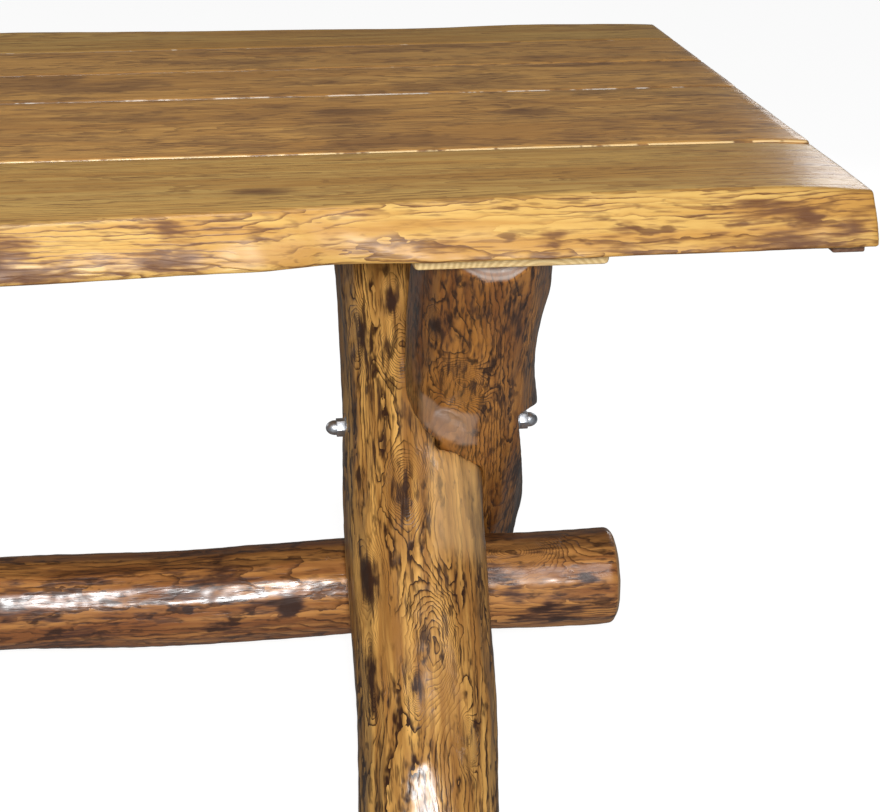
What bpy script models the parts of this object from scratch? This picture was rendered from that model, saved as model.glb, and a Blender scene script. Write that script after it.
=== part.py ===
"""Rustic dining table: five thick boards on two trestles of crossed logs, tied by one log stretcher.

Lengths are metres and +Z is up. The origin lies on the floor under the middle of the table, +X runs
along the boards to the right-hand end and +Y runs from the front edge to the back edge.
"""

import math
from typing import NamedTuple

import bmesh
import bpy
from mathutils import Matrix, Vector

# Table top
TABLE_LENGTH = 2.000
TABLE_HEIGHT = 0.750
BOARD_THICKNESS = 0.050
FRONT_BOARD_WIDTH = 0.198
SECOND_BOARD_WIDTH = 0.285
MIDDLE_BOARD_WIDTH = 0.160
FOURTH_BOARD_WIDTH = 0.148
BACK_BOARD_WIDTH = 0.115
BOARD_GAP = 0.0010
BOARD_CHAMFER = 0.0030

# Live edges: distance from the right-hand end, then how far the upper and the lower arris stand out
# from the straight nominal edge of the outer board
FRONT_LIVE_EDGE = (
    (0.00, 0.002, 0.026),
    (0.14, -0.009, 0.027),
    (0.27, -0.006, 0.031),
    (0.40, 0.004, 0.031),
    (0.49, 0.015, 0.027),
    (0.58, 0.025, 0.042),
    (0.78, 0.041, 0.055),
    (1.02, 0.032, 0.050),
    (1.27, 0.016, 0.032),
    (1.52, 0.008, 0.036),
    (1.78, 0.017, 0.046),
    (2.00, 0.002, 0.030),
)
BACK_LIVE_EDGE = (
    (0.00, 0.004, 0.030),
    (0.18, 0.019, 0.044),
    (0.29, 0.006, 0.036),
    (0.55, 0.020, 0.040),
    (0.86, 0.041, 0.055),
    (1.12, 0.030, 0.050),
    (1.40, 0.014, 0.034),
    (1.70, 0.024, 0.047),
    (2.00, 0.006, 0.028),
)
LIVE_EDGE_CUTS = 19
LIVE_EDGE_BULGE = 0.004

# Bearers and end battens under the boards
BEARER_WIDTH = 0.185
BEARER_THICKNESS = 0.035
BEARER_SETBACK = 0.068
BEARER_OFFSET = 0.020
BEARER_CHAMFER = 0.008
BATTEN_WIDTH = 0.031
BATTEN_THICKNESS = 0.013
BATTEN_END_INSET = 0.002
BATTEN_SETBACK = 0.004
BATTEN_CHAMFER = 0.002

# Trestles: an inner log with its foot at the front, crossed by an outer log with its foot at the back
END_OVERHANG = 0.340
CROSSING_HEIGHT = 0.375
LEG_TILT = math.radians(40.0)
INNER_LEG_RADIUS = 0.079
OUTER_LEG_RADIUS = 0.072
INNER_LEG_LEAN = math.radians(2.6)
OUTER_LEG_LEAN = math.radians(3.8)
INNER_LEG_TAPER = 0.010
OUTER_LEG_TAPER = -0.002
AXIS_OFFSET = 0.0315
LAP_PLANE = -0.015
LAP_CHEEK = 0.004
TIP_TRIM = 0.0315
INNER_SEAT_DEPTH = 0.0060
OUTER_SEAT_DEPTH = 0.0145
OUTER_SEAT_RISE = 0.017
OUTER_SEAT_FALL = 0.110
OUTER_SEAT_SLOPE = math.radians(3.0)
OUTER_SEAT_TURN = math.radians(16.0)
OUTER_SEAT_RAKE = math.radians(20.0)

# Stretcher log in the lower fork of both trestles
STRETCHER_RADIUS = 0.0555
STRETCHER_OVERHANG = 0.208
STRETCHER_CHAMFER = 0.011
STRETCHER_LET_IN = 0.002

# Shape of a peeled log
LOG_SIDES = 16
LOG_RING_SPACING = 0.075
LOG_OVALITY = 0.0018
LOG_WAVE = 0.0022
LOG_WAVE_LENGTH = 0.420
KNOT_REACH = 0.045

# Fasteners
ROD_DIAMETER = 0.012
NUT_ACROSS_FLATS = 0.019
NUT_HEX_HEIGHT = 0.010
NUT_HEIGHT = 0.0220
NUT_DOME_RADIUS = 0.0085
NUT_DOME_STEPS = 4
NUT_GRIP = 0.012
WASHER_DIAMETER = 0.024
WASHER_THICKNESS = 0.0025
SEAT_MARGIN = 0.004
COACH_DIAMETER = 0.010
COACH_ACROSS_FLATS = 0.017
COACH_HEAD_HEIGHT = 0.007
COACH_SINK = 0.003
COACH_POINT = 0.010
LEG_SCREW_BITE = 0.075
STRETCHER_SCREW_BITE = 0.070
STRETCHER_SCREW_SHIFT = 0.012
BEARER_SCREW_DIAMETER = 0.006
BEARER_SCREW_HEAD = 0.012
BEARER_SCREW_BITE = 0.030
BEARER_SCREW_LANE = 0.075
BEARER_SCREW_SHARES = (0.25, 0.75)
BATTEN_SCREW_DIAMETER = 0.0045
BATTEN_SCREW_HEAD = 0.009
BATTEN_SCREW_BITE = 0.024
SCREW_SINK = 0.0010
FASTENER_SIDES = 10
SCREW_SIDES = 8

# Gap left between pieces that touch, and how far a cutter runs past the face it opens
SEAT_GAP = 0.0003
CUT_PAST = 0.020

# Turned profiles close on their axis within this distance, and arrises sharper than this angle stay crisp
WELD_DISTANCE = 0.00001
SHARP_ANGLE = math.radians(40.0)

# Places worked out from the sizes above
BOARD_WIDTHS = (
    FRONT_BOARD_WIDTH,
    SECOND_BOARD_WIDTH,
    MIDDLE_BOARD_WIDTH,
    FOURTH_BOARD_WIDTH,
    BACK_BOARD_WIDTH,
)
BOARD_NAMES = ("front_board", "second_board", "middle_board", "fourth_board", "back_board")
TOP_WIDTH = sum(BOARD_WIDTHS)
BOARD_UNDERSIDE = TABLE_HEIGHT - BOARD_THICKNESS
BEARER_TOP = BOARD_UNDERSIDE - SEAT_GAP
BEARER_UNDERSIDE = BEARER_TOP - BEARER_THICKNESS
BEARER_REACH = TOP_WIDTH / 2.0 - BEARER_SETBACK
BATTEN_TOP = BOARD_UNDERSIDE - SEAT_GAP
BATTEN_REACH = TOP_WIDTH / 2.0 - BATTEN_SETBACK
BATTEN_X = TABLE_LENGTH / 2.0 - BATTEN_END_INSET - BATTEN_WIDTH / 2.0
LEG_TOP = BEARER_UNDERSIDE - SEAT_GAP
TRESTLE_X = TABLE_LENGTH / 2.0 - END_OVERHANG
STRETCHER_REACH = TRESTLE_X + STRETCHER_OVERHANG
FORK_REACH = 2.0 * (STRETCHER_RADIUS - STRETCHER_LET_IN) + INNER_LEG_RADIUS + OUTER_LEG_RADIUS
STRETCHER_HEIGHT = CROSSING_HEIGHT - FORK_REACH / (2.0 * math.sin(LEG_TILT))
STRETCHER_Y = (INNER_LEG_RADIUS - OUTER_LEG_RADIUS) / (2.0 * math.cos(LEG_TILT))
INNER_SEAT = -AXIS_OFFSET - INNER_LEG_RADIUS + INNER_SEAT_DEPTH
OUTER_SEAT = AXIS_OFFSET + OUTER_LEG_RADIUS - OUTER_SEAT_DEPTH

SIDES = (("right", 1), ("left", -1))


class Finish(NamedTuple):
    """Colour, roughness and metallic value of one kind of surface."""

    colour: tuple
    roughness: float
    metallic: float


TOP_FINISH = Finish((0.27, 0.15, 0.05), 0.30, 0.0)
EDGE_FINISH = Finish((0.42, 0.24, 0.07), 0.32, 0.0)
LEG_FINISH = Finish((0.38, 0.20, 0.06), 0.34, 0.0)
DARK_LEG_FINISH = Finish((0.19, 0.09, 0.03), 0.36, 0.0)
STRETCHER_FINISH = Finish((0.25, 0.10, 0.035), 0.28, 0.0)
BEARER_FINISH = Finish((0.45, 0.27, 0.11), 0.45, 0.0)
ZINC_FINISH = Finish((0.62, 0.64, 0.68), 0.25, 1.0)


class Knot(NamedTuple):
    """A swelling on a log: where along it, on which side, and how high."""

    along: float
    angle: float
    height: float


class Log(NamedTuple):
    """A peeled log, measured along its own Z from the point where its trestle crosses."""

    radius: float
    taper: float
    phase: float
    knots: tuple


class Leg(NamedTuple):
    """One log of a trestle, with its place given for the right-hand trestle."""

    log: Log
    offset: float
    tilt: float
    lean: float
    finish: Finish


RIGHT_INNER_KNOTS = (Knot(-0.110, math.radians(-75.0), 0.003), Knot(-0.330, math.radians(-60.0), 0.003))
RIGHT_OUTER_KNOTS = (Knot(0.050, math.radians(-20.0), 0.006), Knot(0.080, math.radians(-110.0), 0.003))
LEFT_INNER_KNOTS = (Knot(0.190, math.radians(200.0), 0.004), Knot(-0.300, math.radians(-100.0), 0.003))
LEFT_OUTER_KNOTS = (Knot(0.150, math.radians(-60.0), 0.004), Knot(-0.260, math.radians(130.0), 0.004))
STRETCHER_KNOTS = (Knot(0.350, math.radians(-60.0), 0.003), Knot(-0.240, math.radians(20.0), 0.003))

STRETCHER_LOG = Log(STRETCHER_RADIUS, 0.0, 0.7, STRETCHER_KNOTS)
LEGS = {
    ("right", "inner"): Leg(
        Log(INNER_LEG_RADIUS, INNER_LEG_TAPER, 0.4, RIGHT_INNER_KNOTS),
        -AXIS_OFFSET, -LEG_TILT, INNER_LEG_LEAN, LEG_FINISH),
    ("right", "outer"): Leg(
        Log(OUTER_LEG_RADIUS, OUTER_LEG_TAPER, 2.1, RIGHT_OUTER_KNOTS),
        AXIS_OFFSET, LEG_TILT, -OUTER_LEG_LEAN, DARK_LEG_FINISH),
    ("left", "inner"): Leg(
        Log(INNER_LEG_RADIUS, INNER_LEG_TAPER, 1.3, LEFT_INNER_KNOTS),
        -AXIS_OFFSET, -LEG_TILT, INNER_LEG_LEAN, LEG_FINISH),
    ("left", "outer"): Leg(
        Log(OUTER_LEG_RADIUS, OUTER_LEG_TAPER, 3.4, LEFT_OUTER_KNOTS),
        AXIS_OFFSET, LEG_TILT, -OUTER_LEG_LEAN, DARK_LEG_FINISH),
}


# Objects, finishes and cuts

def clear_scene():
    """Remove whatever the file holds before the table is built."""
    for item in list(bpy.data.objects):
        bpy.data.objects.remove(item, do_unlink=True)


def new_collection(name, parent):
    """An empty collection under another one."""
    collection = bpy.data.collections.new(name)
    parent.children.link(collection)
    return collection


def new_mesh(name, bm):
    """Turn a bmesh into a mesh with smooth round sides and sharp arrises."""
    bmesh.ops.recalc_face_normals(bm, faces=bm.faces)
    mesh = bpy.data.meshes.new(name)
    bm.to_mesh(mesh)
    bm.free()
    mesh.shade_smooth()
    mesh.set_sharp_from_angle(angle=SHARP_ANGLE)
    return mesh


def new_part(name, mesh, finish, place=None):
    """Add one piece of the table, with its own material."""
    material = bpy.data.materials.new(name + "_finish")
    material.use_nodes = True
    shader = material.node_tree.nodes["Principled BSDF"]
    shader.inputs["Base Color"].default_value = (*finish.colour, 1.0)
    shader.inputs["Roughness"].default_value = finish.roughness
    shader.inputs["Metallic"].default_value = finish.metallic
    part = bpy.data.objects.new(name, mesh)
    part.matrix_world = place or Matrix.Identity(4)
    if not mesh.materials:
        mesh.materials.append(material)
    part.material_slots[0].link = "OBJECT"
    part.material_slots[0].material = material
    TABLE.objects.link(part)
    return part


def new_cutter(name, mesh, collection, place=None):
    """Add a hidden shape that cuts or joins a piece."""
    cutter = bpy.data.objects.new(name, mesh)
    cutter.matrix_world = place or Matrix.Identity(4)
    cutter.hide_render = True
    cutter.display_type = "WIRE"
    collection.objects.link(cutter)
    return cutter


def boolean(part, operation, cutter):
    """Cut a piece with, or join it to, one hidden shape."""
    modifier = part.modifiers.new(cutter.name, "BOOLEAN")
    modifier.operation = operation
    modifier.solver = "EXACT"
    modifier.object = cutter


def turn(item, sides):
    """Turn an object's profile about its own Z axis."""
    screw = item.modifiers.new("turn", "SCREW")
    screw.axis = "Z"
    screw.angle = math.tau
    screw.steps = sides
    screw.render_steps = sides
    screw.use_merge_vertices = True
    screw.merge_threshold = WELD_DISTANCE
    item.modifiers.move(len(item.modifiers) - 1, 0)


def profile_mesh(name, points, closed=False):
    """An outline of (radius, height) points, from the top down its outer side, to be turned about Z."""
    bm = bmesh.new()
    corners = [bm.verts.new((radius, 0.0, height)) for radius, height in points]
    for first, second in zip(corners, corners[1:]):
        bm.edges.new((first, second))
    if closed:
        bm.edges.new((corners[-1], corners[0]))
    mesh = bpy.data.meshes.new(name)
    bm.to_mesh(mesh)
    bm.free()
    return mesh


def box_mesh(name, low, high):
    """A box between two corners."""
    low = Vector(low)
    high = Vector(high)
    bm = bmesh.new()
    bmesh.ops.create_cube(bm, size=1.0)
    bmesh.ops.scale(bm, vec=high - low, verts=bm.verts)
    bmesh.ops.translate(bm, vec=(low + high) / 2.0, verts=bm.verts)
    return new_mesh(name, bm)


def prism_mesh(name, sides, radius, bottom, top):
    """An upright prism or cylinder about Z."""
    bm = bmesh.new()
    bmesh.ops.create_cone(
        bm, cap_ends=True, segments=sides, radius1=radius, radius2=radius, depth=top - bottom)
    bmesh.ops.translate(bm, vec=(0.0, 0.0, (top + bottom) / 2.0), verts=bm.verts)
    return new_mesh(name, bm)


# Boards of the top

def station_value(stations, distance, column):
    """Height of a live-edge line at a distance from the right-hand end, eased between its stations."""
    for near, far in zip(stations, stations[1:]):
        if distance <= far[0]:
            share = max(0.0, (distance - near[0]) / (far[0] - near[0]))
            eased = share * share * (3.0 - 2.0 * share)
            return near[column] + (far[column] - near[column]) * eased
    return stations[-1][column]


def board_spans():
    """Front and back limits of each board, laid side by side from the front edge."""
    spans = []
    front = -TOP_WIDTH / 2.0
    for width in BOARD_WIDTHS:
        spans.append((front, front + width))
        front += width
    return spans


def long_edges(bm, side, upper):
    """Edges along X on one long side of a board, on its upper or lower face."""
    level = max(vert.co.z for vert in bm.verts) if upper else min(vert.co.z for vert in bm.verts)
    return [
        edge for edge in bm.edges
        if all(abs(vert.co.y - side) < SEAT_GAP and abs(vert.co.z - level) < SEAT_GAP for vert in edge.verts)
    ]


def board_mesh(name, front, back, stations, live_side):
    """A board between two lines; live_side is -1 or +1 for a waney front or back edge, 0 for neither."""
    near = front + (0.0 if live_side < 0 else BOARD_GAP / 2.0)
    far = back - (0.0 if live_side > 0 else BOARD_GAP / 2.0)
    size = Vector((TABLE_LENGTH, far - near, BOARD_THICKNESS))
    middle = Vector((0.0, (near + far) / 2.0, BOARD_UNDERSIDE + BOARD_THICKNESS / 2.0))
    bm = bmesh.new()
    bmesh.ops.create_cube(bm, size=1.0)
    bmesh.ops.scale(bm, vec=size, verts=bm.verts)
    bmesh.ops.translate(bm, vec=middle, verts=bm.verts)
    joint_sides = [near, far]
    if live_side:
        joint_sides.remove(near if live_side < 0 else far)
    jointed = [edge for side in joint_sides for edge in long_edges(bm, side, True)]
    bmesh.ops.bevel(
        bm, geom=jointed, offset=BOARD_CHAMFER, affect="EDGES", segments=1, profile=0.5, material=-1)
    if live_side:
        shape_live_edge(bm, near if live_side < 0 else far, stations, live_side)
    return new_mesh(name, bm)


def shape_live_edge(bm, edge_line, stations, live_side):
    """Cut a board into short lengths and draw its outer face out to the line of the log's own surface."""
    along = [edge for edge in bm.edges if abs(edge.verts[0].co.x - edge.verts[1].co.x) > TABLE_LENGTH / 2.0]
    bmesh.ops.subdivide_edges(bm, edges=along, cuts=LIVE_EDGE_CUTS, use_grid_fill=True)
    upright = [
        edge for edge in bm.edges
        if all(abs(vert.co.y - edge_line) < SEAT_GAP for vert in edge.verts)
        and abs(edge.verts[0].co.z - edge.verts[1].co.z) > BOARD_THICKNESS / 2.0
    ]
    bmesh.ops.subdivide_edges(bm, edges=upright, cuts=1, use_grid_fill=True)
    for vert in bm.verts:
        if abs(vert.co.y - edge_line) > SEAT_GAP:
            continue
        distance = TABLE_LENGTH / 2.0 - vert.co.x
        upper = station_value(stations, distance, 1)
        lower = station_value(stations, distance, 2)
        rise = (vert.co.z - BOARD_UNDERSIDE) / BOARD_THICKNESS
        bulge = LIVE_EDGE_BULGE * 4.0 * rise * (1.0 - rise)
        vert.co.y += live_side * (lower + (upper - lower) * rise + bulge)


def make_boards():
    """The five boards, the outer two with live edges."""
    stations = {0: FRONT_LIVE_EDGE, len(BOARD_NAMES) - 1: BACK_LIVE_EDGE}
    live_sides = {0: -1, len(BOARD_NAMES) - 1: 1}
    for index, (name, span) in enumerate(zip(BOARD_NAMES, board_spans())):
        mesh = board_mesh(name, *span, stations.get(index), live_sides.get(index, 0))
        finish = EDGE_FINISH if index in live_sides else TOP_FINISH
        new_part(name, mesh, finish)


# Bearers, battens and the screws that hold the boards to them

def screw_mesh(name, diameter, head, length):
    """Profile of a countersunk wood screw: the head is at the top, with its face at height 0."""
    shank = diameter / 2.0
    sink = head / 2.0 - shank
    return profile_mesh(name, (
        (0.0, 0.0),
        (head / 2.0, 0.0),
        (shank, -sink),
        (shank, diameter - length),
        (0.0, -length),
    ))


def screw_hole_mesh(name, diameter, head, length, sink):
    """Profile of the countersunk hole for such a screw, with a sunk mouth above height 0."""
    shank = diameter / 2.0 + SEAT_GAP
    mouth = head / 2.0 + SEAT_GAP
    return profile_mesh(name, (
        (0.0, sink + CUT_PAST),
        (mouth, sink + CUT_PAST),
        (mouth, -SEAT_GAP),
        (shank, shank - mouth - SEAT_GAP),
        (shank, -length - SEAT_GAP),
        (0.0, -length - SEAT_GAP),
    ))


def drive_screw(name, kind, point, cut_names):
    """Place one upright screw, driven up from below, and the hole that it needs in each piece."""
    upwards = Matrix.Translation(point) @ Matrix.Rotation(math.pi, 4, "X")
    screw = new_part(name, kind["screw"], ZINC_FINISH, upwards)
    turn(screw, SCREW_SIDES)
    for target in cut_names:
        hole = new_cutter(name + "_hole_in_" + target, kind["hole"], CUTS[target], upwards)
        turn(hole, SCREW_SIDES)


def screw_kind(name, diameter, head, length):
    """Meshes shared by all screws of one size."""
    return {
        "screw": screw_mesh(name, diameter, head, length),
        "hole": screw_hole_mesh(name + "_hole", diameter, head, length, SCREW_SINK),
    }


def bearer_screw_points(side):
    """Where screws pass up through a bearer: two for each board that lies well on it, else one.

    Most stand in a lane near the bearer's outer long edge, clear of the heads of the legs. Between the
    heads, the second screw of a board stands in the lane near the inner edge.
    """
    head_start = (LEG_TOP - CROSSING_HEIGHT) * math.tan(LEG_TILT) - INNER_LEG_RADIUS / math.cos(LEG_TILT)
    points = []
    for index, (front, back) in enumerate(board_spans()):
        front = max(front, -BEARER_REACH)
        back = min(back, BEARER_REACH)
        shares = BEARER_SCREW_SHARES if back - front > BEARER_SCREW_LANE else (0.5,)
        for share in shares:
            y = front + (back - front) * share
            inwards = share > 0.5 and abs(y) < head_start - BEARER_SCREW_HEAD
            lane = -BEARER_SCREW_LANE if inwards else BEARER_SCREW_LANE
            points.append((index, side * (TRESTLE_X + BEARER_OFFSET + lane), y))
    return points


def make_bearers():
    """The two cross boards that carry the top, with their screws."""
    length = BEARER_THICKNESS + SEAT_GAP + BEARER_SCREW_BITE - SCREW_SINK
    kind = screw_kind("bearer_screw", BEARER_SCREW_DIAMETER, BEARER_SCREW_HEAD, length)
    for side_name, side in SIDES:
        name = side_name + "_bearer"
        middle = side * (TRESTLE_X + BEARER_OFFSET)
        low = (middle - BEARER_WIDTH / 2.0, -BEARER_REACH, BEARER_UNDERSIDE)
        high = (middle + BEARER_WIDTH / 2.0, BEARER_REACH, BEARER_TOP)
        part = new_part(name, box_mesh(name, low, high), BEARER_FINISH)
        chamfer(part, BEARER_CHAMFER)
        for number, (index, x, y) in enumerate(bearer_screw_points(side), start=1):
            point = (x, y, BEARER_UNDERSIDE + SCREW_SINK)
            drive_screw(f"{name}_screw_{number}", kind, point, (name, BOARD_NAMES[index]))


def make_battens():
    """The thin battens that keep the board ends level, with one screw to each board."""
    length = BATTEN_THICKNESS + SEAT_GAP + BATTEN_SCREW_BITE - SCREW_SINK
    kind = screw_kind("batten_screw", BATTEN_SCREW_DIAMETER, BATTEN_SCREW_HEAD, length)
    underside = BATTEN_TOP - BATTEN_THICKNESS
    for side_name, side in SIDES:
        name = side_name + "_end_batten"
        low = (side * BATTEN_X - BATTEN_WIDTH / 2.0, -BATTEN_REACH, underside)
        high = (side * BATTEN_X + BATTEN_WIDTH / 2.0, BATTEN_REACH, BATTEN_TOP)
        part = new_part(name, box_mesh(name, low, high), DARK_LEG_FINISH)
        chamfer(part, BATTEN_CHAMFER)
        for number, (front, back) in enumerate(board_spans(), start=1):
            middle = (max(front, -BATTEN_REACH) + min(back, BATTEN_REACH)) / 2.0
            point = (side * BATTEN_X, middle, underside + SCREW_SINK)
            drive_screw(f"{name}_screw_{number}", kind, point, (name, BOARD_NAMES[number - 1]))


def chamfer(part, width):
    """Ease every arris of a sawn piece."""
    bevel = part.modifiers.new("chamfer", "BEVEL")
    bevel.width = width
    bevel.segments = 1
    bevel.limit_method = "ANGLE"


# Logs of the trestles and the stretcher

def log_radius(log, along, angle):
    """Radius of a peeled log: taper, oval section, long waves and knots."""
    radius = log.radius + log.taper * along
    radius += LOG_OVALITY * math.cos(2.0 * angle + log.phase)
    radius += LOG_WAVE * math.sin(math.tau * along / LOG_WAVE_LENGTH + angle + log.phase)
    for knot in log.knots:
        turned = math.remainder(angle - knot.angle, math.tau)
        away = math.hypot(along - knot.along, log.radius * turned) / KNOT_REACH
        radius += knot.height * math.exp(-away * away)
    return radius


def log_bmesh(log, low, high, grow=0.0):
    """A log along its own Z; grow makes it fatter, for cutting the seat that another log fits."""
    bm = bmesh.new()
    bmesh.ops.create_cone(
        bm, cap_ends=True, segments=LOG_SIDES, radius1=log.radius, radius2=log.radius, depth=high - low)
    bmesh.ops.translate(bm, vec=(0.0, 0.0, (low + high) / 2.0), verts=bm.verts)
    lengthwise = [edge for edge in bm.edges if abs(edge.verts[0].co.z - edge.verts[1].co.z) > log.radius]
    cuts = int((high - low) / LOG_RING_SPACING)
    bmesh.ops.subdivide_edges(bm, edges=lengthwise, cuts=cuts, use_grid_fill=True)
    for vert in bm.verts:
        angle = math.atan2(vert.co.y, vert.co.x)
        radius = log_radius(log, vert.co.z, angle) + grow
        vert.co.x = radius * math.cos(angle)
        vert.co.y = radius * math.sin(angle)
    return bm


def split_quads(bm):
    """Cut every bent face of a log along the same diagonal, so that a log and the seat for it match."""
    quads = [face for face in bm.faces if len(face.verts) == 4]
    bmesh.ops.triangulate(bm, faces=quads, quad_method="FIXED")


def leg_frame(side, leg):
    """Matrix that stands a log in its trestle, with its Z axis along the log and its origin at the crossing."""
    crossing = Matrix.Translation((side * (TRESTLE_X + leg.offset), 0.0, CROSSING_HEIGHT))
    lean = Matrix.Rotation(side * leg.lean, 4, "Y")
    return crossing @ lean @ Matrix.Rotation(leg.tilt, 4, "X")


def leg_axis(side, leg, height):
    """Point on a leg's axis at a height above the floor."""
    frame = leg_frame(side, leg)
    direction = frame.to_3x3() @ Vector((0.0, 0.0, 1.0))
    start = frame.to_translation()
    return start + direction * ((height - start.z) / direction.z)


def leg_limits(leg):
    """How far a leg's rough log runs below and above the crossing, past the level cuts of foot and top."""
    spare = leg.log.radius * math.tan(LEG_TILT) + CUT_PAST
    below = CROSSING_HEIGHT / math.cos(LEG_TILT) + spare
    above = (LEG_TOP - CROSSING_HEIGHT) / math.cos(LEG_TILT) + spare
    return -below, above


def saw(bm, point, outward):
    """Saw off what lies beyond a plane and close the cut."""
    everything = bm.verts[:] + bm.edges[:] + bm.faces[:]
    cut = bmesh.ops.bisect_plane(bm, geom=everything, plane_co=point, plane_no=outward, clear_outer=True)
    rim = [item for item in cut["geom_cut"] if isinstance(item, bmesh.types.BMEdge)]
    bmesh.ops.edgeloop_fill(bm, edges=rim)


def leg_mesh(name, side, leg):
    """A leg's log, sawn level at the floor and under the bearer, with its upper tip trimmed upright."""
    frame = leg_frame(side, leg)
    bm = log_bmesh(leg.log, *leg_limits(leg))
    split_quads(bm)
    bm.transform(frame)
    top_side = -math.copysign(1.0, leg.tilt)
    tip = (LEG_TOP - CROSSING_HEIGHT) * math.tan(LEG_TILT) + leg.log.radius / math.cos(LEG_TILT)
    saw(bm, (0.0, 0.0, 0.0), (0.0, 0.0, -1.0))
    saw(bm, (0.0, 0.0, LEG_TOP), (0.0, 0.0, 1.0))
    saw(bm, (0.0, top_side * (tip - TIP_TRIM), 0.0), (0.0, top_side, 0.0))
    bm.transform(frame.inverted())
    return new_mesh(name, bm)


def lap_box_mesh(name, side, narrower):
    """The notch across an inner leg where the outer leg passes, in the outer leg's own frame."""
    half = OUTER_LEG_RADIUS - LAP_CHEEK - narrower
    floor = side * (LAP_PLANE + narrower - AXIS_OFFSET)
    reach = side * (INNER_LEG_RADIUS + OUTER_LEG_RADIUS)
    low = (min(floor, reach), -half, -2.0 * INNER_LEG_RADIUS)
    high = (max(floor, reach), half, 2.0 * INNER_LEG_RADIUS)
    return box_mesh(name, low, high)


def cut_lap(side_name, side):
    """Notch the inner leg for the outer one, and fit the outer leg round what is left of the inner one."""
    inner = LEGS[side_name, "inner"]
    outer = LEGS[side_name, "outer"]
    crossing = leg_frame(side, outer)
    crossing = Matrix.Translation(crossing.to_translation()) @ Matrix.Rotation(outer.tilt, 4, "X")
    notch_name = side_name + "_lap_notch"
    new_cutter(notch_name, lap_box_mesh(notch_name, side, 0.0), CUTS[side_name + "_inner_leg"], crossing)
    pattern_notch_name = side_name + "_pattern_notch"
    pattern_notch = new_cutter(
        pattern_notch_name, lap_box_mesh(pattern_notch_name, side, SEAT_GAP), PATTERNS, crossing)
    pattern_name = side_name + "_inner_leg_pattern"
    bm = log_bmesh(inner.log, *leg_limits(inner), grow=SEAT_GAP)
    split_quads(bm)
    pattern = new_cutter(
        pattern_name, new_mesh(pattern_name, bm), CUTS[side_name + "_outer_leg"], leg_frame(side, inner))
    boolean(pattern, "DIFFERENCE", pattern_notch)


def make_legs():
    """The four logs of the two trestles."""
    for side_name, side in SIDES:
        for place in ("inner", "outer"):
            leg = LEGS[side_name, place]
            name = f"{side_name}_{place}_leg"
            new_part(name, leg_mesh(name, side, leg), leg.finish, leg_frame(side, leg))
        cut_lap(side_name, side)


def stretcher_frame():
    """Matrix that lays the stretcher along the table, in the fork under the crossings."""
    return Matrix.Translation((0.0, STRETCHER_Y, STRETCHER_HEIGHT)) @ Matrix.Rotation(math.pi / 2.0, 4, "Y")


def stretcher_mesh(name, grow):
    """The stretcher's log, with its end arrises chamfered."""
    bm = log_bmesh(STRETCHER_LOG, -STRETCHER_REACH, STRETCHER_REACH, grow)
    rims = [
        edge for edge in bm.edges
        if all(abs(abs(vert.co.z) - STRETCHER_REACH) < SEAT_GAP for vert in edge.verts)
    ]
    bmesh.ops.bevel(
        bm, geom=rims, offset=STRETCHER_CHAMFER, affect="EDGES", segments=1, profile=0.5, material=-1)
    split_quads(bm)
    return new_mesh(name, bm)


def make_stretcher():
    """The long log, let a little into all four legs."""
    new_part("stretcher", stretcher_mesh("stretcher", 0.0), STRETCHER_FINISH, stretcher_frame())
    seat = stretcher_mesh("stretcher_seat", SEAT_GAP)
    for side_name, _ in SIDES:
        for place in ("inner", "outer"):
            leg_name = f"{side_name}_{place}_leg"
            new_cutter("stretcher_seat_in_" + leg_name, seat, CUTS[leg_name], stretcher_frame())


# Cross rods with their washers and cap nuts

def along_x(x, direction):
    """Matrix at the crossing's height that turns Z to point along +X or -X."""
    return Matrix.Translation((x, 0.0, CROSSING_HEIGHT)) @ Matrix.Rotation(direction * math.pi / 2.0, 4, "Y")


def make_cross_rods():
    """A threaded rod through each crossing, drawn up by a washer and a cap nut at each end."""
    seats = {"inner": INNER_SEAT, "outer": OUTER_SEAT}
    facing = {"inner": -1, "outer": 1}
    nut_face = WASHER_THICKNESS + 2.0 * SEAT_GAP
    overrun = nut_face + NUT_GRIP
    rod_length = OUTER_SEAT - INNER_SEAT + 2.0 * overrun
    rod_mesh = prism_mesh("cross_rod", FASTENER_SIDES, ROD_DIAMETER / 2.0, -rod_length / 2.0, rod_length / 2.0)
    nut = nut_meshes()
    washer = washer_mesh()
    bore_mesh = prism_mesh(
        "rod_bore", FASTENER_SIDES, ROD_DIAMETER / 2.0 + SEAT_GAP, -rod_length / 2.0, rod_length / 2.0)
    seat_radius = WASHER_DIAMETER / 2.0 + SEAT_MARGIN
    seat_mesh = prism_mesh("nut_seat", FASTENER_SIDES, seat_radius, 0.0, NUT_HEIGHT + CUT_PAST)
    for side_name, side in SIDES:
        middle = side * (TRESTLE_X + (INNER_SEAT + OUTER_SEAT) / 2.0)
        new_part(side_name + "_cross_rod", rod_mesh, ZINC_FINISH, along_x(middle, 1))
        for place, seat in seats.items():
            leg_cuts = CUTS[f"{side_name}_{place}_leg"]
            direction = side * facing[place]
            x = side * (TRESTLE_X + seat)
            new_cutter(f"{side_name}_{place}_rod_bore", bore_mesh, leg_cuts, along_x(middle, 1))
            new_cutter(f"{side_name}_{place}_nut_seat", seat_mesh, leg_cuts, along_x(x, direction))
            if place == "outer":
                hew_nut_seat(side_name, side, x)
            washer_place = along_x(x + direction * SEAT_GAP, direction)
            ring = new_part(f"{side_name}_{place}_washer", washer, ZINC_FINISH, washer_place)
            turn(ring, FASTENER_SIDES * 2)
            make_cap_nut(f"{side_name}_{place}_cap_nut", nut, along_x(x + direction * nut_face, direction))


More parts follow.
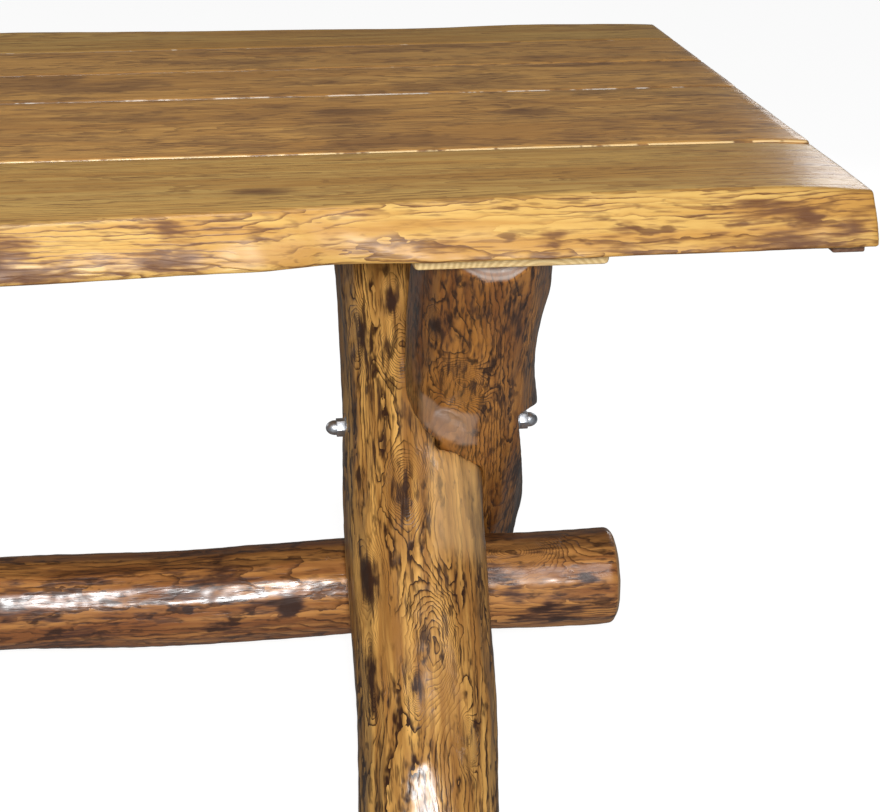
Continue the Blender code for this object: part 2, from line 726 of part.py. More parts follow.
def hew_nut_seat(side_name, side, x):
    """The flat hewn on the outer leg for its nut: turned to the front, under a step that rakes up to it."""
    name = side_name + "_hewn_seat"
    reach = side * 2.0 * OUTER_LEG_RADIUS
    low = (min(0.0, reach), -2.0 * OUTER_LEG_RADIUS, -OUTER_SEAT_FALL)
    high = (max(0.0, reach), 2.0 * OUTER_LEG_RADIUS, OUTER_SEAT_RISE)
    turned = Matrix.Rotation(-side * OUTER_SEAT_TURN, 4, "Z")
    slope = Matrix.Rotation(-side * OUTER_SEAT_SLOPE, 4, "Y")
    rake = Matrix.Rotation(-OUTER_SEAT_RAKE, 4, "X")
    place = Matrix.Translation((x, 0.0, CROSSING_HEIGHT)) @ turned @ slope @ rake
    new_cutter(name, box_mesh(name, low, high), CUTS[side_name + "_outer_leg"], place)


def washer_mesh():
    """Outline of a flat washer that lies on height 0."""
    hole = ROD_DIAMETER / 2.0 + SEAT_GAP
    rim = WASHER_DIAMETER / 2.0
    return profile_mesh("washer", (
        (hole, WASHER_THICKNESS),
        (rim, WASHER_THICKNESS),
        (rim, 0.0),
        (hole, 0.0),
    ), closed=True)


def nut_meshes():
    """The hexagon, the dome and the blind bore of a cap nut that stands on height 0."""
    corner = NUT_ACROSS_FLATS / math.sqrt(3.0)
    dome = [(0.0, NUT_HEIGHT)]
    for step in range(1, NUT_DOME_STEPS):
        angle = math.radians(90.0) * (1.0 - step / NUT_DOME_STEPS)
        rise = (NUT_HEIGHT - NUT_HEX_HEIGHT) * math.sin(angle)
        dome.append((NUT_DOME_RADIUS * math.cos(angle), NUT_HEX_HEIGHT + rise))
    dome.append((NUT_DOME_RADIUS, NUT_HEX_HEIGHT))
    dome.append((NUT_DOME_RADIUS, NUT_HEX_HEIGHT / 2.0))
    dome.append((0.0, NUT_HEX_HEIGHT / 2.0))
    return {
        "hexagon": prism_mesh("cap_nut", 6, corner, 0.0, NUT_HEX_HEIGHT),
        "dome": profile_mesh("cap_nut_dome", dome),
        "bore": prism_mesh(
            "cap_nut_bore", FASTENER_SIDES, ROD_DIAMETER / 2.0 + SEAT_GAP, -CUT_PAST, NUT_GRIP + SEAT_GAP),
    }


def make_cap_nut(name, meshes, place):
    """One cap nut: a hexagon joined to its dome and bored for the rod's end."""
    part = new_part(name, meshes["hexagon"], ZINC_FINISH, place)
    dome = new_cutter(name + "_dome", meshes["dome"], PATTERNS, place)
    turn(dome, FASTENER_SIDES)
    bore = new_cutter(name + "_bore", meshes["bore"], PATTERNS, place)
    boolean(part, "UNION", dome)
    boolean(part, "DIFFERENCE", bore)


# Coach screws that tie the legs to the bearers and the stretcher to the legs

def coach_meshes(name, length):
    """Hexagon head above height 0 and pointed shank below it, with the hole that they need."""
    shank = COACH_DIAMETER / 2.0
    corner = COACH_ACROSS_FLATS / math.sqrt(3.0)
    bore = shank + SEAT_GAP
    mouth = corner + SEAT_MARGIN
    return {
        "head": prism_mesh(name, 6, corner, 0.0, COACH_HEAD_HEIGHT),
        "shank": profile_mesh(name + "_shank", (
            (0.0, COACH_HEAD_HEIGHT / 2.0),
            (shank, COACH_HEAD_HEIGHT / 2.0),
            (shank, COACH_POINT - length),
            (0.0, -length),
        )),
        "hole": profile_mesh(name + "_hole", (
            (0.0, COACH_HEAD_HEIGHT + CUT_PAST),
            (mouth, COACH_HEAD_HEIGHT + CUT_PAST),
            (mouth, -SEAT_GAP),
            (bore, -SEAT_GAP),
            (bore, -length - SEAT_GAP),
            (0.0, -length - SEAT_GAP),
        )),
    }


def drive_coach_screw(name, meshes, place, cut_names):
    """Place one coach screw along -Z of its frame, and the hole that it needs in each piece."""
    part = new_part(name, meshes["head"], ZINC_FINISH, place)
    shank = new_cutter(name + "_shank", meshes["shank"], PATTERNS, place)
    turn(shank, SCREW_SIDES)
    boolean(part, "UNION", shank)
    for target in cut_names:
        hole = new_cutter(name + "_hole_in_" + target, meshes["hole"], CUTS[target], place)
        turn(hole, SCREW_SIDES)


def make_leg_screws():
    """A coach screw down through the bearer into the head of each leg, sunk under the boards."""
    seat = BEARER_TOP - SCREW_SINK - COACH_HEAD_HEIGHT
    meshes = coach_meshes("leg_screw", seat - LEG_TOP + LEG_SCREW_BITE)
    for side_name, side in SIDES:
        for place in ("inner", "outer"):
            point = leg_axis(side, LEGS[side_name, place], LEG_TOP)
            point.z = seat
            leg_name = f"{side_name}_{place}_leg"
            upright = Matrix.Translation(point)
            drive_coach_screw(leg_name + "_screw", meshes, upright, (leg_name, side_name + "_bearer"))


def make_stretcher_screws():
    """A coach screw through the stretcher into each leg, driven square to the leg from below."""
    length = 2.0 * STRETCHER_RADIUS - COACH_SINK + STRETCHER_SCREW_BITE
    meshes = coach_meshes("stretcher_screw", length)
    for side_name, side in SIDES:
        for place in ("inner", "outer"):
            leg = LEGS[side_name, place]
            inwards = -math.copysign(STRETCHER_SCREW_SHIFT, leg.offset)
            x = leg_axis(side, leg, STRETCHER_HEIGHT).x + side * inwards
            away = Matrix.Rotation(leg.tilt + math.copysign(math.pi / 2.0, leg.tilt), 4, "X")
            head = Matrix.Translation((x, STRETCHER_Y, STRETCHER_HEIGHT)) @ away
            head = head @ Matrix.Translation((0.0, 0.0, STRETCHER_RADIUS - COACH_SINK))
            name = f"{side_name}_{place}_stretcher_screw"
            drive_coach_screw(name, meshes, head, (f"{side_name}_{place}_leg", "stretcher"))


def cut_pieces():
    """Make every notch, seat and hole in the pieces that have them."""
    for piece, cuts in CUTS.items():
        for cutter in cuts.objects:
            boolean(TABLE.objects[piece], "DIFFERENCE", cutter)


# The table, put together

clear_scene()
TABLE = new_collection("rustic_dining_table", bpy.context.scene.collection)
CUTTERS = new_collection("cutters", bpy.context.scene.collection)
PATTERNS = new_collection("patterns", CUTTERS)
CUT_PIECES = BOARD_NAMES + ("stretcher",)
for SIDE_NAME, _ in SIDES:
    CUT_PIECES += tuple(SIDE_NAME + end for end in ("_bearer", "_end_batten", "_inner_leg", "_outer_leg"))
CUTS = {piece: new_collection(piece + "_cuts", CUTTERS) for piece in CUT_PIECES}

make_boards()
make_bearers()
make_battens()
make_legs()
make_stretcher()
make_cross_rods()
make_leg_screws()
make_stretcher_screws()
cut_pieces()
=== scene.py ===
"""Looks of a rustic dining table: live-edge boards on crossed-log trestles, flame-burnt and varnished."""

import math
from typing import NamedTuple

import bmesh
import bpy
from mathutils import Matrix, Vector, noise


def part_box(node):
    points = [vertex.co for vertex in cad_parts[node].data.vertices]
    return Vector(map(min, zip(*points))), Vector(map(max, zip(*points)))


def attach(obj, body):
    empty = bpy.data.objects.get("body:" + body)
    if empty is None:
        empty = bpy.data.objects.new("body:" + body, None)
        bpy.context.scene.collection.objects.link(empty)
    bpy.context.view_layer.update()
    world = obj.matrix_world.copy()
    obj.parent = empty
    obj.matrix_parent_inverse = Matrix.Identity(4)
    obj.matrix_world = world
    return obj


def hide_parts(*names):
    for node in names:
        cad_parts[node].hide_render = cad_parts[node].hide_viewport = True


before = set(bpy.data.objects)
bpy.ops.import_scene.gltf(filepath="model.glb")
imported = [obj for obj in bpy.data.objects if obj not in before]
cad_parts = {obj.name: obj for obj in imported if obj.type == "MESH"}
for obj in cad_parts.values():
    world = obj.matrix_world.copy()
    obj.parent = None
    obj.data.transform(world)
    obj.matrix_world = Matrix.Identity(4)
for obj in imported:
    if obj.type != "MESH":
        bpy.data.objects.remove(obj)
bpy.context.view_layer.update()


# Studio
# A pale floor in an evenly lit room. A small soft box beside the lens lights the front squarely, others
# overhead, at the right and behind the left-hand end fill in, and the varnish mirrors a low white panel
# behind the right-hand end.
LENS = 88.62
SENSOR_WIDTH = 36.0
CAMERA_PLACE = (0.366, -2.311, 1.212)
CAMERA_FALL = 19.31
CAMERA_TURN = 7.28
FLOOR_HALF = 20.0
FLOOR_DROP = 0.001
FLOOR_GREY = (0.36, 0.36, 0.36, 1.0)
WHITE = (1.0, 1.0, 1.0, 1.0)
BLACK = (0.0, 0.0, 0.0, 1.0)


def add_node(tree, kind, values=None, **settings):
    """Add a shader node, set or link its inputs, and give back its outputs."""
    item = tree.nodes.new("ShaderNode" + kind)
    for setting, value in settings.items():
        setattr(item, setting, value)
    for socket, value in (values or {}).items():
        if isinstance(value, bpy.types.NodeSocket):
            tree.links.new(value, item.inputs[socket])
        else:
            item.inputs[socket].default_value = value
    return item.outputs


def new_material(name):
    """A material with an empty node tree and its output node."""
    material = bpy.data.materials.new(name)
    material.use_nodes = True
    material.node_tree.nodes.clear()
    return material, material.node_tree, material.node_tree.nodes.new("ShaderNodeOutputMaterial")


def new_object(name, data):
    """An object linked to the scene."""
    item = bpy.data.objects.new(name, data)
    bpy.context.scene.collection.objects.link(item)
    return item


def new_mesh(name, bm):
    """A mesh from a bmesh that is done with."""
    mesh = bpy.data.meshes.new(name)
    bm.to_mesh(mesh)
    bm.free()
    return mesh


camera_data = bpy.data.cameras.new("camera")
camera_data.sensor_fit = "HORIZONTAL"
camera_data.sensor_width = SENSOR_WIDTH
camera_data.lens = LENS
camera = new_object("camera", camera_data)
camera.location = CAMERA_PLACE
camera.rotation_euler = (math.radians(90.0 - CAMERA_FALL), 0.0, math.radians(-CAMERA_TURN))
bpy.context.scene.camera = camera
bpy.context.scene.view_settings.view_transform = "Standard"

floor_bm = bmesh.new()
bmesh.ops.create_grid(floor_bm, x_segments=1, y_segments=1, size=FLOOR_HALF)
bmesh.ops.translate(floor_bm, vec=(0.0, 0.0, -FLOOR_DROP), verts=floor_bm.verts)
floor_mesh = new_mesh("studio_floor", floor_bm)
studio_floor = new_object("studio_floor", floor_mesh)

floor_paint, tree, output = new_material("floor_paint")
rays = add_node(tree, "LightPath")
brightness = add_node(tree, "MapRange", {"Value": rays["Is Camera Ray"], "To Min": 0.16, "To Max": 0.90})[0]
glow = add_node(tree, "Emission", {"Color": WHITE, "Strength": brightness})[0]
matt = add_node(tree, "BsdfDiffuse", {"Color": FLOOR_GREY})[0]
paint = add_node(tree, "AddShader", {0: glow, 1: matt})[0]
dimmed = add_node(tree, "MapRange", {"Value": rays["Is Glossy Ray"], "To Max": 0.60})[0]
black = add_node(tree, "BsdfDiffuse", {"Color": BLACK})[0]
tree.links.new(add_node(tree, "MixShader", {0: dimmed, 1: paint, 2: black})[0], output.inputs["Surface"])
floor_mesh.materials.append(floor_paint)

room = bpy.data.worlds.new("room")
room.use_nodes = True
tree = room.node_tree
tree.nodes.clear()
rays = add_node(tree, "LightPath")
mirrored = add_node(tree, "MapRange", {"Value": rays["Is Glossy Ray"], "To Min": 0.12, "To Max": 0.07})[0]
values = {"Value": rays["Is Camera Ray"], "To Min": mirrored, "To Max": 1.0}
brightness = add_node(tree, "MapRange", values)[0]
room_light = add_node(tree, "Background", {"Color": WHITE, "Strength": brightness})[0]
tree.links.new(room_light, tree.nodes.new("ShaderNodeOutputWorld").inputs["Surface"])
bpy.context.scene.world = room


def soft_box(name, place, aim, width, height, power):
    """A rectangular studio light, turned to face a point."""
    lamp = bpy.data.lights.new(name, "AREA")
    lamp.shape = "RECTANGLE"
    lamp.size = width
    lamp.size_y = height
    lamp.energy = power
    stand = new_object(name, lamp)
    stand.location = place
    stand.rotation_euler = (Vector(aim) - Vector(place)).to_track_quat("-Z", "Y").to_euler()
    stand.visible_camera = False


soft_box("lens_box", (0.39, -2.34, 1.26), (0.50, -0.20, 0.45), width=0.16, height=0.12, power=46.0)
soft_box("back_panel", (2.35, 2.45, 1.40), (0.95, -0.20, 0.75), width=0.9, height=0.5, power=6.5)
soft_box("side_box", (1.30, -1.95, 1.65), (0.75, 0.0, 0.20), width=0.40, height=0.30, power=3.0)
soft_box("ceiling_box", (0.10, -0.42, 2.75), (0.20, 0.05, 0.75), width=1.0, height=0.6, power=28.5)
soft_box("far_box", (-2.60, 2.60, 1.60), (0.0, 0.0, 0.40), width=1.2, height=1.0, power=11.0)


# Boards of the top
# Five thick softwood planks laid side by side, the outer two with the round of the log left on. Their faces
# were burnt with a flame, brushed along the grain and varnished, and every arris was eased by hand.
class Live(NamedTuple):
    """One station of a live edge: distance from the right-hand end, then how far each arris stands out."""

    distance: float
    upper: float
    lower: float


class Ripple(NamedTuple):
    """Small waves in a surface: their depth, and how closely they follow along the plank and across it."""

    depth: float
    along: float
    across: float


FRONT_EDGE = (
    Live(0.00, 0.002, 0.031),
    Live(0.14, -0.009, 0.032),
    Live(0.27, -0.006, 0.036),
    Live(0.40, 0.004, 0.035),
    Live(0.49, 0.015, 0.030),
    Live(0.58, 0.025, 0.047),
    Live(0.78, 0.041, 0.064),
    Live(1.02, 0.032, 0.058),
    Live(1.27, 0.016, 0.032),
    Live(1.52, 0.008, 0.036),
    Live(1.78, 0.017, 0.046),
    Live(2.00, 0.002, 0.030),
)
BACK_EDGE = (
    Live(0.00, 0.004, 0.030),
    Live(0.18, 0.019, 0.044),
    Live(0.29, 0.006, 0.036),
    Live(0.55, 0.020, 0.040),
    Live(0.86, 0.041, 0.055),
    Live(1.12, 0.030, 0.050),
    Live(1.40, 0.014, 0.034),
    Live(1.70, 0.024, 0.047),
    Live(2.00, 0.006, 0.028),
)
plank_low, plank_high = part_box("second_board")
plank_length = plank_high.x - plank_low.x
plank_thickness = plank_high.z - plank_low.z
LIVE_LINE = 0.453
EDGE_BULGE = 0.004
END_FALL_SLOPE = 0.075
JOINT_EASING = 0.0055
LIVE_EASING = 0.0035
END_EASING = 0.0025
FACE_STEP = 0.007
SIDE_CUTS = 9
LENGTHWISE_CUTS = 219
LIVE_CUTS = 399
LIVE_RIPPLES = (Ripple(0.0026, 16.0, 34.0), Ripple(0.0011, 55.0, 90.0))
JOINT_RIPPLE = Ripple(0.0003, 22.0, 40.0)
FACE_RIPPLE = Ripple(0.0005, 2.3, 11.0)


def live_line(stations, distance):
    """Upper and lower stand-out of a live edge at a distance from the right-hand end."""
    for near, far in zip(stations, stations[1:]):
        if distance <= far.distance:
            share = max(0.0, (distance - near.distance) / (far.distance - near.distance))
            eased = share * share * (3.0 - 2.0 * share)
            return (
                near.upper + (far.upper - near.upper) * eased,
                near.lower + (far.lower - near.lower) * eased,
            )
    return stations[-1].upper, stations[-1].lower


def show(mesh, node_name):
    """Put a finished mesh on the table in place of its CAD node."""
    piece = new_object(mesh.name, mesh)
    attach(piece, "root")
    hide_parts(node_name)


def smooth_mesh(name, bm, material):
    """Turn a bmesh into a smooth-shaded mesh with one material."""
    mesh = new_mesh(name, bm)
    mesh.shade_smooth()
    mesh.materials.append(material)
    return mesh


def edge_span(edge, axis):
    """How far an edge runs along one axis."""
    first, second = edge.verts
    return abs(getattr(first.co, axis) - getattr(second.co, axis))


def ease(bm, geom, offset, segments, affect="EDGES"):
    """Round off edges or corners."""
    bmesh.ops.bevel(bm, geom=geom, offset=offset, affect=affect, segments=segments, profile=0.5, material=-1)


def plank_bmesh(front, back, live_side):
    """A plank with eased arrises, cut into short lengths; live_side is -1 or +1 for the side left round."""
    width = back - front
    middle = Vector((-plank_length / 2.0, (front + back) / 2.0, (plank_low.z + plank_high.z) / 2.0))
    section = Matrix((
        (0, 0, 1, middle.x),
        (width, 0, 0, middle.y),
        (0, plank_thickness, 0, middle.z),
        (0, 0, 0, 1),
    ))
    bm = bmesh.new()
    bmesh.ops.create_grid(bm, x_segments=1, y_segments=1, size=0.5)
    bm.transform(section)
    round_corners = [vert for vert in bm.verts if (vert.co.y - middle.y) * live_side > 0.0]
    plain_corners = [vert for vert in bm.verts if vert not in round_corners]
    ease(bm, plain_corners, JOINT_EASING, 3, "VERTICES")
    if round_corners:
        ease(bm, round_corners, LIVE_EASING, 4, "VERTICES")
    faces_across = [edge for edge in bm.edges if edge.calc_length() > width / 2.0]
    bmesh.ops.subdivide_edges(bm, edges=faces_across, cuts=int(width / FACE_STEP))
    sides = [edge for edge in bm.edges if edge_span(edge, "z") > plank_thickness / 2.0]
    bmesh.ops.subdivide_edges(bm, edges=sides, cuts=SIDE_CUTS)
    grown = bmesh.ops.extrude_face_region(bm, geom=bm.faces[:])
    far_end = [item for item in grown["geom"] if isinstance(item, bmesh.types.BMVert)]
    bmesh.ops.translate(bm, vec=(plank_length, 0.0, 0.0), verts=far_end)
    rims = [edge for edge in bm.edges if edge_span(edge, "x") < plank_length / 2.0]
    ease(bm, rims, END_EASING, 2)
    lengthwise = [edge for edge in bm.edges if edge_span(edge, "x") > plank_length / 2.0]
    cuts = LIVE_CUTS if live_side else LENGTHWISE_CUTS
    bmesh.ops.subdivide_edges(bm, edges=lengthwise, cuts=cuts, use_grid_fill=True)
    bmesh.ops.recalc_face_normals(bm, faces=bm.faces)
    return bm


def shape_plank(bm, front, back, plank, seed):
    """Draw out the live edge, wear the ends and leave the marks of the plane and brush on the faces."""
    joint = back if plank.live_side < 0 else front
    for vert in bm.verts:
        place = vert.co.copy()
        rise = (place.z - plank_low.z) / plank_thickness
        from_end = plank_length / 2.0 - abs(place.x)
        if plank.stations:
            pull = abs((place.y - joint) / (back - front)) ** 4
            upper, lower = live_line(plank.stations, plank_length / 2.0 - place.x)
            outward = lower + (upper - lower) * rise + EDGE_BULGE * 4.0 * rise * (1.0 - rise)
            for ripple in LIVE_RIPPLES:
                spot = Vector((place.x * ripple.along, place.z * ripple.across, seed))
                outward += ripple.depth * noise.noise(spot)
            vert.co.y += plank.live_side * outward * pull
        else:
            spot = Vector((place.x * JOINT_RIPPLE.along, seed, place.z * JOINT_RIPPLE.across))
            vert.co.y += JOINT_RIPPLE.depth * noise.noise(spot)
        spot = Vector((place.x * FACE_RIPPLE.along, place.y * FACE_RIPPLE.across, seed))
        wave = FACE_RIPPLE.depth * noise.noise(spot)
        fall = 0.5 * END_FALL_SLOPE * plank.fall_reach * max(0.0, 1.0 - from_end / plank.fall_reach) ** 2
        vert.co.z += (wave - fall * rise) * rise


def maths(tree, operation, *values):
    """One arithmetic node."""
    return add_node(tree, "Math", dict(enumerate(values)), operation=operation)[0]


def product(tree, first, *others):
    """Multiply values together."""
    for value in others:
        first = maths(tree, "MULTIPLY", first, value)
    return first


def weighed(tree, value, weight, base):
    """A value times its weight, on top of a base."""
    return maths(tree, "MULTIPLY_ADD", value, weight, base)


def wavering(tree, base, field, depth):
    """A base that a field of noise moves up and down."""
    return weighed(tree, maths(tree, "SUBTRACT", field, 0.5), depth, base)


def vectors(tree, operation, *values):
    """One vector arithmetic node."""
    outputs = add_node(tree, "VectorMath", dict(enumerate(values)), operation=operation)
    return outputs["Value"] if operation == "LENGTH" else outputs["Vector"]


def ramped(tree, value, low, high):
    """Smooth step from 0 at low to 1 at high."""
    values = {"Value": value, "From Min": low, "From Max": high}
    return add_node(tree, "MapRange", values, interpolation_type="SMOOTHSTEP")[0]


def tinted(tree, share, first, second):
    """Mix two colours."""
    return add_node(tree, "Mix", {0: share, 6: first, 7: second}, data_type="RGBA")[2]


class Field(NamedTuple):
    """A field of noise: how fine it is across and along the grain, its detail, its own seed and its twist."""

    across: float
    along: float
    detail: float
    seed: float = 0.0
    twist: float = 0.0


def cloudy(tree, vector, field, seed=0.0):
    """Noise drawn out along the grain, from 0 to 1."""
    values = {
        "Vector": vectors(tree, "MULTIPLY", vector, (field.across, field.across, field.along)),
        "W": maths(tree, "ADD", seed, field.seed),
        "Scale": 1.0,
        "Detail": field.detail,
        "Distortion": field.twist,
    }
    return add_node(tree, "TexNoise", values, noise_dimensions="4D")["Fac"]


def new_group(name, inputs, outputs):
    """An empty node group with named sockets; inputs and outputs map names to kinds of socket."""
    group = bpy.data.node_groups.new(name, "ShaderNodeTree")
    for direction, sockets in (("INPUT", inputs), ("OUTPUT", outputs)):
        for socket, kind in sockets.items():
            group.interface.new_socket(socket, in_out=direction, socket_type="NodeSocket" + kind)
    return group, group.nodes.new("NodeGroupInput").outputs, group.nodes.new("NodeGroupOutput").inputs


def knot_group():
    """How growth lines swell round a knot: rise lifts the growth field, calm stills its own waves by a share
    called stillness, and core marks the dark heart. Each builds on what earlier knots gave."""
    numbers = (
        "Reach", "Stretch", "Height", "Heart", "Stillness", "Rise Before", "Calm Before", "Core Before")
    inputs = {"Vector": "Vector", "Centre": "Vector", **dict.fromkeys(numbers, "Float")}
    outputs = dict.fromkeys(("Rise", "Calm", "Core"), "Float")
    tree, given, result = new_group("knot", inputs, outputs)
    away = add_node(tree, "SeparateXYZ", {0: vectors(tree, "SUBTRACT", given["Vector"], given["Centre"])})
    lengthwise = product(tree, away["Z"], given["Stretch"])
    drawn = add_node(tree, "CombineXYZ", {"X": away["X"], "Y": away["Y"], "Z": lengthwise})[0]
    share = maths(tree, "DIVIDE", vectors(tree, "LENGTH", drawn), given["Reach"])
    swell = maths(tree, "EXPONENT", product(tree, share, share, -1.0))
    waves_left = maths(tree, "SUBTRACT", 1.0, product(tree, swell, given["Stillness"]))
    tree.links.new(weighed(tree, swell, given["Height"], given["Rise Before"]), result["Rise"])
    tree.links.new(product(tree, waves_left, given["Calm Before"]), result["Calm"])
    tree.links.new(weighed(tree, swell, given["Heart"], given["Core Before"]), result["Core"])
    return tree


WOOD_FIELDS = {
    "growth": Field(12.0, 1.0, 1.0),
    "wander": Field(46.0, 10.0, 2.0),
    "patchy": Field(30.0, 9.0, 2.0, 3.0),
    "fibre": Field(310.0, 38.0, 2.0),
    "tone": Field(9.0, 2.2, 2.0, 5.0),
    "streak": Field(85.0, 6.0, 3.0, 7.0),
    "smoke": Field(22.0, 10.0, 4.0, 9.0, 0.7),
    "soot_and_flank_shade": Field(105.0, 42.0, 3.0, 11.0),
    "jag": Field(120.0, 55.0, 2.0, 13.0),
}
END_RINGS = 210.0


def growth_lines(tree, given, fields):
    """Growth lines: season runs from 0 to 1 through each year, and line marks the dark late wood, broken up
    where the brush took it away."""
    spread = product(tree, fields["growth"], given["Lines"], given["Calm"])
    spread = maths(tree, "ADD", spread, given["Rise"])
    spread = wavering(tree, spread, fields["wander"], 2.2)
    spread = wavering(tree, spread, fields["jag"], 1.1)
    season = wavering(tree, maths(tree, "FRACT", spread), fields["fibre"], 0.30)
    at_knot = maths(tree, "SUBTRACT", 1.0, given["Calm"])
    kept = maths(tree, "MAXIMUM", ramped(tree, fields["patchy"], 0.32, 0.50), at_knot)
    late = weighed(tree, fields["patchy"], -0.45, 0.90)
    line = product(tree, ramped(tree, season, late, 0.96), kept, ramped(tree, fields["soot_and_flank_shade"], 0.28, 0.46))
    return season, line


def burnt_clouds(tree, given, fields, uncut):
    """How burnt the wood is, how black the hearts of its burnt clouds are, and the specks of soot in them."""
    cloud = wavering(tree, fields["smoke"], fields["fibre"], 0.52)
    cloud = weighed(tree, given["Core"], 0.28, cloud)
    scorched = weighed(tree, maths(tree, "MAXIMUM", given["Core"], 0.0), 0.25, given["Burning"])
    burn = product(tree, scorched, uncut, ramped(tree, cloud, 0.45, 0.65))
    heart = ramped(tree, cloud, 0.56, 0.74)
    speck = product(
        tree, ramped(tree, fields["soot_and_flank_shade"], 0.55, 0.66), ramped(tree, fields["smoke"], 0.38, 0.54),
        given["Burning"])
    return burn, heart, speck


def sawn_end(tree, given, growth):
    """The share of the surface that is sawn across the grain, and the colour of the rings that show there."""
    facing = maths(tree, "ABSOLUTE", add_node(tree, "SeparateXYZ", {0: given["Normal"]})["Z"])
    across = vectors(tree, "MULTIPLY", given["Vector"], (1.0, 1.0, 0.0))
    rings = weighed(tree, vectors(tree, "LENGTH", across), END_RINGS, product(tree, growth, 6.0))
    late = ramped(tree, maths(tree, "PINGPONG", rings, 0.5), 0.42, 0.08)
    colour = tinted(tree, product(tree, late, 0.45), given["Sawn"], given["Middle"])
    return ramped(tree, facing, 0.50, 0.72), colour


def burnt_wood_group():
    """Flame-burnt, brushed softwood in grain coordinates: its colour, roughness and relief."""
    numbers = (
        "Seed", "Lines", "Line Depth", "Ledges", "Burning", "Matt", "Worn", "Rise", "Calm", "Core", "Hewn")
    colours = ("Light", "Middle", "Dark", "Burnt", "Sawn")
    inputs = {"Vector": "Vector", "Normal": "Vector", **dict.fromkeys(numbers, "Float")}
    inputs.update(dict.fromkeys(colours, "Color"))
    outputs = {"Colour": "Color", "Roughness": "Float", "Height": "Float"}
    tree, given, result = new_group("burnt_wood", inputs, outputs)
    fields = {}
    for name, field in WOOD_FIELDS.items():
        fields[name] = cloudy(tree, given["Vector"], field, given["Seed"])
    fibre = fields["fibre"]
    season, line = growth_lines(tree, given, fields)
    uncut = add_node(tree, "Clamp", {0: weighed(tree, given["Hewn"], -2.5, 1.0)})[0]
    line = product(tree, line, uncut)
    dash = product(tree, ramped(tree, fibre, 0.50, 0.64), ramped(tree, fields["patchy"], 0.26, 0.52), uncut)
    burn, heart, speck = burnt_clouds(tree, given, fields, uncut)
    end_share, end_colour = sawn_end(tree, given, fields["growth"])
    shade = weighed(tree, fields["streak"], 0.6, product(tree, fields["tone"], 0.4))
    layers = (
        (ramped(tree, shade, 0.40, 0.60), given["Middle"]),
        (product(tree, ramped(tree, season, 0.1, 1.0), 0.55), given["Middle"]),
        (given["Worn"], given["Burnt"]),
        (product(tree, given["Line Depth"], 0.70, dash), given["Dark"]),
        (burn, tinted(tree, heart, given["Burnt"], given["Dark"])),
        (speck, given["Dark"]),
        (product(tree, line, given["Line Depth"]), given["Dark"]),
        # Hewn patches take the sawn colour, partly a painted sheen.
        (given["Hewn"], given["Sawn"]),
        (end_share, end_colour),
    )
    colour = given["Light"]
    for share, layer in layers:
        colour = tinted(tree, share, colour, layer)
    roughness = weighed(tree, burn, 0.10, weighed(tree, fibre, 0.20, 0.28))
    roughness = weighed(tree, given["Hewn"], -0.12, maths(tree, "ADD", roughness, given["Matt"]))
    height = product(tree, season, given["Ledges"])
    for value, weight in ((product(tree, line, given["Calm"]), -0.50), (fibre, 0.45), (dash, -0.30)):
        height = weighed(tree, value, weight, height)
    height = product(tree, height, weighed(tree, given["Hewn"], -0.75, 1.0))
    for socket, value in (("Colour", colour), ("Roughness", roughness), ("Height", height)):
        tree.links.new(value, result[socket])
    return tree


KNOT = knot_group()
BURNT_WOOD = burnt_wood_group()


class Finish(NamedTuple):
    """A burnt and varnished finish: its colours, growth lines, burning and varnish. Ledges is how far the
    lines stand up, drawn how far the figure is drawn out along the grain, soot_and_flank_shade how much
    painted shade darkens a log's flanks, and unburnt how much of the burning was brushed off."""

    light: tuple
    middle: tuple
    dark: tuple
    burnt: tuple
    sawn: tuple
    lines: float
    line_depth: float
    burning: float
    gloss: float
    gloss_blur: float
    matt: float = 0.0
    ledges: float = 0.0
    drawn: float = 1.0
    soot_and_flank_shade: float = 0.0
    unburnt: float = 0.0


class Knot(NamedTuple):
    """A knot: its centre, the size of its swirl, how many lines ring it, how far it is drawn out, its dark
    heart, and how much it stills the lines around it. The centre is noted in the table's frame for a plank
    and as a place along a log and round it in degrees; a material takes it in grain coordinates."""

    centre: tuple
    reach: float
    height: float
    stretch: float = 0.55
    heart: float = 0.0
    stillness: float = 0.92


class Hewn(NamedTuple):
    """A patch that was cut smooth after burning, in grain coordinates; its colour is paler and also painted
    lighter as a sheen, and softness is how far its rim fades.
    """

    centre: tuple
    reach: tuple
    strength: float
    gloss: float
    softness: float


class ArrisGlint(NamedTuple):
    """The painted glint on an eased arris: its colour, and the level of noise above which it shows."""

    colour: tuple
    wear: float


PLANED_GLOSS = 0.55
PLANED_BLUR = 0.22
PLANED_WEAR = 0.12
PLANED_PALING = -0.55
# Painted highlights: the eased arrises of the joints get pale glint colours, broken by darker stretches.
ARRIS_SHARE = 0.65
ARRIS_DARK = (0.18, 0.10, 0.045, 1.0)
ARRIS_GLINT_BREAKUP = Field(30.0, 45.0, 3.0)
GLINT_FADE = 0.08
# Colour of the painted shade on a log's flanks, where its surface turns away from the front.
PAINTED_FLANK_SHADE = (0.020, 0.012, 0.006, 1.0)
RAGGED_SCALE = 70.0
RAGGED_REACH = 0.009
BRUSHED_RELIEF = 0.55
VARNISHED_RELIEF = 0.16
RELIEF_DEPTH = 0.0012


def ragged_grain(tree, vector):
    """Grain coordinates shaken a little, so that knots and patches get ragged outlines."""
    shaken = add_node(tree, "TexNoise", {"Vector": vector, "Scale": RAGGED_SCALE, "Detail": 2.0})["Color"]
    shaken = vectors(tree, "SUBTRACT", shaken, (0.5, 0.5, 0.5))
    return vectors(tree, "MULTIPLY_ADD", shaken, (RAGGED_REACH, RAGGED_REACH, RAGGED_REACH), vector)


